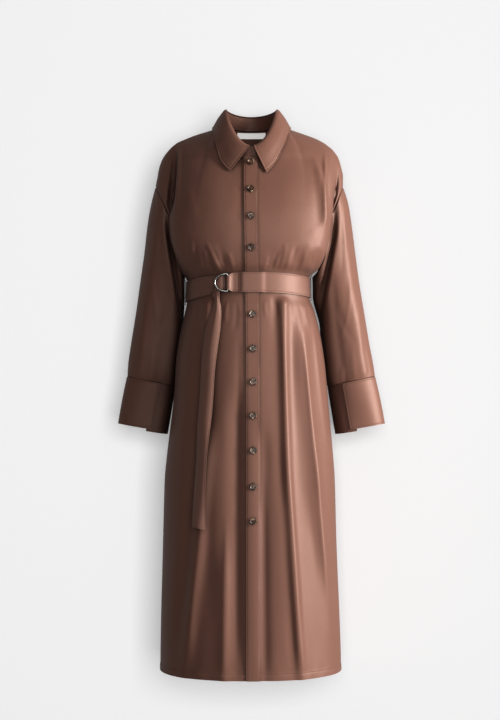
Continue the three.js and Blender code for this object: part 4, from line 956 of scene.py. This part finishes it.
def buttonShape():
    s = buttonSizes
    radii = np.concatenate([np.linspace(0.25, s["radius"] - s["rim"], 22), s["radius"] - s["rim"] * np.array([0.8, 0.6, 0.4, 0.22, 0.08, 0])])
    half = s["height"] / 2
    turns = 56
    rings = []
    for r in radii:
        rim = smoothStep((r - (s["radius"] - s["rim"] * 1.5)) / (s["rim"] * 0.7))
        edge = math.sqrt(max(0, 1 - max(0, (r - s["radius"] + 0.9) / 0.9) ** 2))
        angle = 2 * np.pi * np.arange(turns) / turns
        x, y = r * np.cos(angle), r * np.sin(angle)
        h = half - s["dish"] * (1 - rim) + 0 * x
        for hx in (-1, 1):
            for hy in (-1, 1):
                away = np.hypot(x - hx * s["holeOffset"], y - hy * s["holeOffset"])
                h -= s["holeDepth"] * (1 - smoothStep((away - s["holeRadius"] * 0.7) / (s["holeRadius"] * 0.6)))
        h = h * edge
        rings.append(np.stack([x, y, h], 1))
    for r, h in ((s["radius"] * 0.97, -half * 0.5), (s["radius"] * 0.8, -half)):
        angle = 2 * np.pi * np.arange(turns) / turns
        rings.append(np.stack([r * np.cos(angle), r * np.sin(angle), h + 0 * angle], 1))
    points = np.concatenate([[[0, 0, half - s["dish"]]], *rings, [[0, 0, -half]]])
    faces = []
    for j in range(turns):
        faces.append((0, 1 + j, 1 + (j + 1) % turns))
    for i in range(len(rings) - 1):
        for j in range(turns):
            a, b = 1 + i * turns + j, 1 + i * turns + (j + 1) % turns
            faces.append((a, a + turns, b + turns, b))
    last = 1 + (len(rings) - 1) * turns
    for j in range(turns):
        faces.append((last + j, len(points) - 1, last + (j + 1) % turns))
    return points, faces


def tube(path, radius, sides, closed):
    path = np.asarray(path, float)
    n = len(path)
    along = np.roll(path, -1, 0) - np.roll(path, 1, 0) if closed else np.gradient(path, axis=0)
    along = unit(along)
    helper = np.array([0.0, 0, 1]) if abs(along[:, 2]).max() < 0.9 else np.array([0.0, 1, 0])
    side = unit(np.cross(along, helper))
    other = unit(np.cross(along, side))
    angle = 2 * np.pi * np.arange(sides) / sides
    points = path[:, None] + radius * (np.cos(angle)[None, :, None] * side[:, None] + np.sin(angle)[None, :, None] * other[:, None])
    faces = []
    for i in range(n if closed else n - 1):
        k = (i + 1) % n
        for j in range(sides):
            m = (j + 1) % sides
            faces.append((i * sides + j, i * sides + m, k * sides + m, k * sides + j))
    if not closed:
        faces.append(tuple(range(sides - 1, -1, -1)))
        faces.append(tuple((n - 1) * sides + j for j in range(sides)))
    return points.reshape(-1, 3), faces


def joined(parts):
    points, faces, start = [], [], 0
    for p, f in parts:
        points.append(p)
        faces += [tuple(k + start for k in face) for face in f]
        start += len(p)
    return np.concatenate(points), faces


def makeButtons():
    s = buttonSizes
    shape, faces = buttonShape()
    threads, welts = [], []
    for k, (z, turn) in enumerate(zip(s["heights"], s["turns"])):
        point, right, up, out = buttonFrame(z)
        a = math.radians(turn)
        ex, ey = right * math.cos(a) + up * math.sin(a), up * math.cos(a) - right * math.sin(a)
        base = point + out * (s["height"] / 2 + 0.5)
        placed = base + shape[:, :1] * ex + shape[:, 1:2] * ey + shape[:, 2:] * out
        button = meshPiece(f"button{k + 1}", placed, faces, buttonHorn)
        settle(button, "button_horn", f"button_{k + 1}")
        for row in (-1, 1):
            for strand in (-0.32, 0, 0.32):
                span = np.linspace(-1, 1, 9)[:, None]
                rise = s["height"] / 2 - s["dish"] + 0.25 - 0.9 * np.abs(span) ** 4
                line = base + span * s["holeOffset"] * ex + (row * s["holeOffset"] + strand) * ey + rise * out
                threads.append(tube(line, 0.22, 6, False))
        angle = 2 * np.pi * np.arange(40) / 40
        half, wide = s["holeLength"] / 2 - s["holeWidth"] / 2, s["holeWidth"] / 2
        line = point + (wide * np.cos(angle))[:, None] * right + (wide * np.sin(angle) + half * np.sign(np.sin(angle)))[:, None] * up + out * 0.15
        welts.append(tube(line, 0.5, 8, True))
    threadPiece = meshPiece("buttonThread", *joined(threads), bandSatin)
    weltPiece = meshPiece("buttonholeWelts", *joined(welts), bandSatin)
    settle(threadPiece, "band_satin")
    settle(weltPiece, "band_satin")


makeButtons()
print("buttons made")

# sleeves
sleeveSizes = {"rows": 150, "columns": 120, "clearance": 3.2, "wall": 0.7, "waistLeft": 14, "waistRight": 1, "tuck": 5}
sleeveFolds = [  # angle, width, rise, from and to
    (60, 15, 3, 0.1, 1.05), (105, 14, -3, 0.25, 1.1), (140, 13, 2.5, 0.4, 1.1),
    (232, 13, -4, 0.2, 1.1), (280, 14, 4, 0.1, 1.1), (330, 14, -3, 0.35, 1.1),
]
sleeveCreases = [  # place and angle of both ends, bow, width in degrees and rise
    (0.03, 40, 0.34, 62, 4, 7, 0.8), (0.04, 66, 0.42, 82, -4, 7, -0.7), (0.05, 20, 0.3, 30, 4, 8, 0.8),
    (0.42, 60, 0.66, 96, -6, 6, 0.7), (0.5, 96, 0.72, 70, 6, 6, -0.7), (0.55, 40, 0.8, 58, 4, 8, 0.7),
    (0.7, 76, 1.0, 82, 3, 6, 0.8), (0.72, 50, 1.0, 46, -3, 7, -0.7), (0.8, 104, 1.0, 110, 2, 5, 0.8),
    (0.05, 300, 0.4, 286, 4, 8, 1.6), (0.4, 262, 0.7, 300, 6, 8, 1.6), (0.6, 320, 0.95, 318, 3, 8, -1.4),
    (0.7, 250, 1.0, 246, 3, 7, 1.6), (0.3, 200, 0.7, 210, 4, 9, 1.4),
    (-0.1, 56, 0.5, 158, 0, 13, -13), (-0.1, 84, 0.36, 172, 0, 8, 2),
]


def bodyReach(side, y, z):
    depth = np.where(y < 0, depthFront(z), depthBack(z))
    share = np.minimum(np.abs(y) / depth, 1)
    width = widthLeft(z) if side == "left" else widthRight(z)
    power = bodySizes["planPower"]
    return width * (1 - share**power) ** (1 / power)


def sleevePoint(side, place, angle, lift=0):
    ring = sleeveRing(side, place)
    rise = lift + 0 * angle
    for at, width, high, start, end in sleeveFolds:
        strength = smoothStep((place - start) * 5) * smoothStep((end - place) * 7)
        rise = rise + high * strength * bump(angle - at, width)
    shift = 0 if side == "left" else 7
    for p0, a0, p1, a1, bow, width, high in sleeveCreases:
        t = (place - p0) / (p1 - p0)
        inside = np.clip(t, 0, 1)
        at = mixed(a0, a1, inside) + shift + bow * 4 * inside * (1 - inside)
        fade = smoothStep((t + 0.02) / 0.35) * smoothStep((1.05 - t) / 0.35)
        rise = rise + high * fade * bump(angle - at, width)
    rise = rise + 0.5 * np.sin(np.radians(angle * 3 + shift * 9) + place * 9) * smoothStep(place * 8)
    point = ringPoint(side, ring, angle, rise)
    beside = smoothStep((place - 0.16) * 8)
    least = bodyReach(side, point[..., 1], np.minimum(point[..., 2], -330)) + sleeveSizes["clearance"]
    x = np.abs(point[..., 0])
    atWaist = smoothStep((place - 0.12) / 0.07) * smoothStep((0.54 - place) / 0.2) * bump(angle - 180, 50)
    x = x - sleeveSizes["waistLeft" if side == "left" else "waistRight"] * atWaist
    x = np.where(x < least, mixed(x, least, beside), x)
    point[..., 0] = x * (1 if side == "left" else -1)
    return point


def makeSleeve(name, side, node):
    s = sleeveSizes
    place = mixed(0.004, 1, np.arange(s["rows"] + 1) / s["rows"])[:, None]
    angle = (360 * np.arange(s["columns"]) / s["columns"])[None, :]
    dip = -2 * bump((place - 0.004) * 480, 3) - 0.8 * bump((1 - place) * 480, 3)
    grid = sleevePoint(side, place + 0 * angle, angle + 0 * place, dip + 0 * angle)
    inward = unit(grid[0] - grid[6]) * s["tuck"] + unit(grid[0].mean(0) - grid[0]) * 2
    inward *= smoothStep((np.abs(angle[0] - 180) - 50) / 30)[:, None] * 0.98 + 0.02  # hardly any under the arm
    grid = np.concatenate([(grid[0] + inward)[None], grid])  # the edge is tucked under the body's cloth
    piece = clothShell(name, grid, s["wall"], sleeveSatin, closed=True, flip=side == "right")
    return settle(piece, "dress_satin", node)


sleeveLeft = makeSleeve("sleeveLeft", "left", "sleeve_left")
sleeveRight = makeSleeve("sleeveRight", "right", "sleeve_right")

# cuffs
cuffSizes = {
    "outerZ": -671, "outer": 303.5, "innerZ": -692, "inner": 190, "centreY": 42, "depth": 31,
    "slit": 112, "lap": 15, "drop": 6, "columns": 150, "rows": 34, "wall": 1.3,
}


def makeCuff(name, side, node):
    s = cuffSizes
    turn = (np.arange(s["columns"] + 1) / s["columns"])[None, :]
    down = (np.arange(s["rows"] + 1) / s["rows"])[:, None]
    angle = s["slit"] - s["lap"] + turn * (360 + s["lap"])
    top = sleeveRing(side, 1.0)
    ring = {key: mixed(top[key], s[key], down) for key in top}
    swell = 0.9 * np.sin(np.pi * down) * np.sin(np.radians(angle * 2 + 40)) + 0.35 * np.sin(np.radians(angle * 5) + down * 3)
    grid = ringPoint(side, ring, angle + 0 * down, mixed(-1.2, 1.2, turn) + swell)
    grid[..., 2] -= bodySizes["gap"] + 0.1 + down * s["drop"] * (1 - turn)
    piece = clothShell(name, grid, s["wall"], cuffSatin, flip=side == "right", edges=("low", "high", "first", "last"))
    return settle(piece, "dress_satin", node)


cuffLeft = makeCuff("cuffLeft", "left", "cuff_left")
cuffRight = makeCuff("cuffRight", "right", "cuff_right")
print("sleeves and cuffs made")

# collar
collarSizes = {
    "rollHeight": 31, "rollHalf": 57, "rollY": -6, "rollFront": 74, "rollBack": 72, "lift": 3.4,
    "wall": 1.3, "columns": 200, "rows": 44, "standRows": 12, "standColumns": 120,
}
collarEdgeLeft = [(4, 33, -119), (18, 43, -108), (36, 56, -91), (60, 76, -47), (76, 85, -22), (90, 89, -6.8)]
collarEdgeRight = [(4, 46, -114.5), (15, 54, -109), (34, 67, -92), (60, 79, -54), (76, 86, -25), (90, 89, -6.8)]
collarBackEdge = [(120, 80, 46, -6), (150, 48, 80, -11), (180, 0, 90, -14)]
collarRoll = [(0, -1, 3.3), (0.03, 2.2, 3.3), (0.08, 4.6, 1.4), (0.18, 5.6, 0), (0.4, 5, 0), (0.75, 2, 0), (1, 0, 0)]


def rollPoint(angle):
    s = collarSizes
    c, n = np.cos(np.radians(angle)), np.sin(np.radians(angle))
    depth = np.where(c > 0, s["rollFront"], s["rollBack"])
    drop = np.where(c > 0, (s["rollHeight"] + 60) * np.maximum(c, 0) ** 1.6, 6 * c * c)
    return np.stack([s["rollHalf"] * n, s["rollY"] - depth * c, s["rollHeight"] - drop], -1)


def outwardAt(angle):
    return np.stack([np.sin(np.radians(angle)), -np.cos(np.radians(angle)), 0 * angle], -1)


def collarEdgeCurves(rows):
    angles, xs, ys, zs = [], [], [], []
    for angle, x, z in rows:
        if angle == 90:
            y = 4.0
        else:
            u, v = placeOn("front", x, z)
            y = float((bodyPoint("front", u, v) + bodyNormal("front", u, v) * collarSizes["lift"])[..., 1])
        angles.append(angle)
        xs.append(x)
        ys.append(y)
        zs.append(z)
    for angle, x, y, z in collarBackEdge:
        angles.append(angle)
        xs.append(x)
        ys.append(y)
        zs.append(z)
    return tableCurve(angles, xs), tableCurve(angles, ys), tableCurve(angles, zs)


edgeCurves = {"left": collarEdgeCurves(collarEdgeLeft), "right": collarEdgeCurves(collarEdgeRight)}
rollOut = tableCurve([r[0] for r in collarRoll], [r[1] for r in collarRoll])
rollUp = tableCurve([r[0] for r in collarRoll], [r[2] for r in collarRoll])


def collarEdge(angle):
    start = np.where(angle <= 180, angle, 360 - angle)
    left = np.stack([c(start) for c in edgeCurves["left"]], -1)
    right = np.stack([c(start) for c in edgeCurves["right"]], -1)
    right[..., 0] *= -1
    return np.where((angle <= 180)[..., None], left, right)


def makeCollar():
    s = collarSizes
    share = np.concatenate([[0, 0.008, 0.018, 0.03, 0.045, 0.062, 0.08], np.linspace(0.1, 1, s["rows"] - 6)])[:, None]
    angle = mixed(4, 356, np.arange(s["columns"] + 1) / s["columns"])[None, :]
    angle, share = angle + 0 * share, share + 0 * angle
    point = mixed(rollPoint(angle), collarEdge(angle), share[..., None])
    point = point + outwardAt(angle) * rollOut(share)[..., None]
    point[..., 2] += rollUp(share)
    front = point[..., 1] <= 0
    u, v = placeOn("front", point[..., 0], point[..., 2])
    below = clothPoint("front", u, v, s["lift"] + 0.2)
    point[..., 1] = np.where(front & (v < 2.995), np.minimum(point[..., 1], below[..., 1]), point[..., 1])
    across, along = distances(point, False)
    edge = np.minimum(np.minimum(across, across[:, -1:] - across), along[-1:] - along)
    ridge = 0.45 * bump(edge - 1.4, 1.5) - 0.3 * bump(edge - 4.5, 1.2)
    point = point + gridNormals(point, False, True) * ridge[..., None]
    piece = clothShell("collarFall", point, s["wall"], collarSatin, flip=True, edges=("first", "last", "high"))
    return settle(piece, "dress_satin", "collar")


def makeStand():
    s = collarSizes
    turn = (np.arange(s["standColumns"] + 1) / s["standColumns"])[None, :]
    up = (np.arange(s["standRows"] + 1) / s["standRows"])[:, None]
    angle = mixed(-12, 372, turn) + 0 * up
    point = mixed(neckPoint(angle), rollPoint(angle), mixed(0.06, 1, up + 0 * turn)[..., None])
    point = point + outwardAt(angle) * mixed(-1, 0.8, turn + 0 * up)[..., None]
    piece = clothShell("collarStand", point, s["wall"], collarSatin, edges=("low",))
    return settle(piece, "dress_satin", "collar_stand")


collar, stand = makeCollar(), makeStand()
print("collar made")

# neck label
labelSizes = {"half": 33, "top": -6.5, "bottom": -19.5, "wall": 0.6, "stand": 2.7}


def makeLabel():
    s = labelSizes
    x = np.linspace(-s["half"], s["half"], 41)[None, :]
    z = np.linspace(s["bottom"], s["top"], 13)[:, None]
    x, z = x + 0 * z, z + 0 * x
    u, v = placeOn("back", x, z)
    lift = -s["stand"] + 0.3 * np.sin(x * 0.16) * smoothStep((s["top"] - z) / 6)
    points = bodyPoint("back", u, v) + bodyNormal("back", u, v) * lift[..., None]
    piece = clothShell("neckLabel", points, s["wall"], labelSatin, flip=True, edges=("first", "last"))
    return settle(piece, "label_satin", "neck_label")


label = makeLabel()

# belt, rings and tail
beltSizes = {"wall": 1.8, "start": -44, "end": -56, "endWidth": 33, "narrowFrom": -58, "narrowSpan": 62, "rows": 14, "frontColumns": 90, "backColumns": 150}
foldSection = [
    (-44.4, 0, 18), (-50.2, 0, 15.7), (-52.5, 0.9, 15.6), (-53.6, 3, 15.6), (-53.6, 7.4, 15.6), (-52.5, 9.6, 15.6),
    (-50.2, 10.5, 15.7), (-47.2, 10.3, 15.9), (-43.5, 7.4, 18.5), (-39, 4.8, 20), (-34, 4.2, 20.5), (-27, 4.2, 20.5),
]
ringSizes = {
    "wire": 2.8, "bar": -49.9, "height": 38,
    "ringOuter": {"reach": -74.5, "lift": 7, "tip": 14, "node": "ring_outer"},
    "ringInner": {"reach": -68, "lift": 3.7, "tip": 3.6, "node": "ring_inner"},
}
tailStations = [  # x, z, width, turn, lift and curl
    (-56.5, -361, 28, 90, 2.9, 0), (-59.5, -361, 28, 90, 4.6, 0), (-62.5, -361, 28, 90, 6.3, 0),
    (-67.5, -361, 28, 90, 7, 0), (-72, -364, 28, 78, 6.8, 0), (-75.5, -372, 26, 54, 5.6, 1),
    (-75.5, -384, 20, 28, 6, 2), (-73.5, -398, 13, 6, 8, 3), (-74.5, -413, 20, -2, 8, 5),
    (-78, -434, 29, -4, 7.5, 5), (-84, -470, 36, -5, 7.5, 5), (-92, -540, 35, -4, 8, 5),
    (-96, -610, 34, -3, 8.5, 5), (-101, -680, 34, -3, 9, 5), (-105, -750, 33, -4, 9.5, 5),
    (-109, -820, 32, -6, 10, 5), (-112, -893, 32, -8, 10, 5),
]


def beltLift(x, face):
    if face == "back":
        return 0.6 + 0 * x
    over = 1 - smoothStep((np.abs(x - bandMiddle(-358.0)) - 18) / 14)
    return 0.6 + (bandSizes["lift"] + bodySizes["wall"]) * over


def beltPoints(face, u, up, lift):
    x = bodyPoint(face, u, 1.5 + 0 * u)[..., 0]
    s = beltSizes
    narrow = smoothStep((s["narrowFrom"] - x) / -s["narrowSpan"] + 1) * (x < s["narrowFrom"]) if face == "front" else 0 * x
    width = mixed(bodySizes["beltWidth"], s["endWidth"], narrow) / bodySizes["beltWidth"]
    v = 1.5 + (up - 0.5) * width
    return bodyPoint(face, u, v) + bodyNormal(face, u, v) * (lift + beltLift(x, face))[..., None]


def makeBelt():
    s = beltSizes
    startU, endU = float(shareAt("front", s["start"], 1.5)), float(shareAt("front", s["end"], 1.5))
    up = np.linspace(0, 1, s["rows"] + 1)[:, None]
    runs = [("front", np.linspace(startU, 0.998, s["frontColumns"] + 20)), ("back", np.linspace(0.99, -0.99, s["backColumns"])), ("front", np.linspace(-0.998, endU, s["frontColumns"]))]
    parts = []
    for face, u in runs:
        grid = u[None, :] + 0 * up
        x = bodyPoint(face, grid, 1.5 + 0 * grid)[..., 0]
        wave = 0.5 * np.sin(x * 0.07 + 1) * (up - 0.5) + 0.5 * np.sin(x * 0.031) * np.sin(np.pi * up)
        crease = 0
        if face == "front":
            toRing = smoothStep((-60 - x) / 40) * (1 - smoothStep((-100 - x) / 30)) + 0 * up
            crease = -1.1 * toRing * bump(up - 0.52, 0.12) * (x < -58)
        rim = 0.25 * (bump(up, 0.06) + bump(up - 1, 0.06)) - 0.2 * (bump(up - 0.08, 0.04) + bump(up - 0.92, 0.04))
        parts.append(beltPoints(face, grid, up + 0 * grid, s["wall"] + 0.4 + wave * 0.7 + crease + rim))
    piece = clothShell("beltStrip", np.concatenate(parts, 1), s["wall"], beltSatin, edges=("low", "high", "first", "last"))
    return settle(piece, "belt_satin", "belt")


def frontLifted(u, v, lift):
    return bodyPoint("front", u, v) + bodyNormal("front", u, v) * np.asarray(lift)[..., None]


def makeRingFold():
    t = np.linspace(0, len(foldSection) - 1, 67)
    keys = np.arange(len(foldSection))
    x, lift, half = (tableCurve(keys, [row[k] for row in foldSection])(t)[:, None] for k in range(3))
    side = np.linspace(-1, 1, 13)[None, :]
    u = shareAt("front", x + 0 * side, 1.5 + 0 * x * side)
    v = 1.5 + half / bodySizes["beltWidth"] * side
    high = lift + beltLift(x, "front") + 0.2 * bump(np.abs(side) - 1, 0.08) - 0.25 * bump(x + 29, 1.2)
    piece = clothShell("beltRingFold", frontLifted(u, v, high + 0 * side), beltSizes["wall"], beltSatin, flip=True, edges=("first", "last", "high"))
    return settle(piece, "belt_satin", "belt_ring_fold")


def makeRing(name):
    s, r = ringSizes, ringSizes[name]
    half, corner = s["height"] / 2, 3
    path = [(0.0, mixed(-half + corner, half - corner, k / 14)) for k in range(15)]
    for k in range(49):
        angle = math.radians(90 - 180 * k / 48)
        path.append((max(max(math.cos(angle), 0) ** 0.8, 0.09), half * math.sin(angle)))
    out, up = np.array(path).T
    x = mixed(s["bar"], r["reach"], out)
    u = shareAt("front", x, 1.5 + 0 * x)
    centres = frontLifted(u, 1.5 + 0 * u, mixed(r["lift"], r["tip"], out) + beltLift(x, "front"))
    centres[:, 2] = float(beltHeight("front", shareAt("front", s["bar"], 1.5))) + up
    piece = meshPiece(name, *tube(centres, s["wire"] / 2, 14, True), ringMetal, 60)
    return settle(piece, "ring_metal", r["node"])


def makeTail():
    rows = 190
    lengths = np.cumsum([0] + [math.hypot(b[0] - a[0], b[1] - a[1]) for a, b in zip(tailStations, tailStations[1:])])
    t = lengths[-1] * np.linspace(0, 1, rows) ** 1.25
    x, z, width, turn, lift, curl = (tableCurve(lengths, [row[k] for row in tailStations])(t)[:, None] for k in range(6))
    across = np.linspace(-1, 1, 19)[None, :]
    u, v = placeOn("front", x, z)
    middle = frontLifted(u, v, lift + beltSizes["wall"])
    out = bodyNormal("front", u, v)
    flat = unit(np.stack([-out[..., 1], out[..., 0], 0 * out[..., 0]], -1))
    flat = flat * np.sign(flat[..., :1])
    half = width / 2
    a = np.radians(turn)
    points = middle + flat * (across * half * np.cos(a))[..., None]
    points[..., 2] += across * half * np.sin(a)
    hang = smoothStep((-400 - z) / 60)
    wave = hang * (0.9 * np.sin(z * 0.024 + across) + 0.5 * np.sin(z * 0.011 + 2 * across))
    crease = -1.2 * smoothStep((-385 - z) / 30) * smoothStep((z + 520) / 90) * bump(across + 0.2, 0.25)
    points = points + out * (-curl * across * across + wave * 0.5 + crease)[..., None]
    piece = clothShell("beltTail", points, beltSizes["wall"], beltSatin, flip=True, edges=("first", "last", "high"))
    return settle(piece, "belt_satin", "belt_tail")


belt, ringFold, tail = makeBelt(), makeRingFold(), makeTail()
ringOuter, ringInner = makeRing("ringOuter"), makeRing("ringInner")

# thread loops
loopSizes = {"width": 3, "thickness": 1.2, "overhang": 4}


def makeLoop(name, u, node):
    s = loopSizes
    edge = np.array(float(u))
    middle = float(beltHeight("front", edge))
    half = bodySizes["beltWidth"] / 2
    wall = beltSizes["wall"]
    keys = [-half - s["overhang"] - 2, -half - s["overhang"], -half * 0.6, 0, half * 0.6, half + s["overhang"], half + s["overhang"] + 2]
    lifts = [0.9, wall + 1.2, wall + 1.9, wall + 1.9, wall + 1.9, wall + 1.2, 0.9]
    up = np.linspace(keys[0], keys[-1], 60)
    lift = tableCurve(keys, lifts)(up)
    strands = []
    for side in (-0.75, 0, 0.75):
        z = middle + up
        x = np.abs(sectionPoint("front", edge + 0 * z, 1 + 0 * z, z, 0, middle + 0 * z)[..., 0]) + lift + 0.5
        twist = up * 1.1 + side * 3
        path = np.stack([np.sign(u) * (x + 0.25 * np.cos(twist)), side + 0.3 * np.sin(twist), z], -1)
        strands.append(tube(path, 0.62, 8, False))
    piece = meshPiece(name, *joined(strands), beltSatin, 60)
    return settle(piece, "dress_satin", node)


loopLeft = makeLoop("beltLoopLeft", 1, "belt_loop_left")
loopRight = makeLoop("beltLoopRight", -1, "belt_loop_right")
print("belt made")
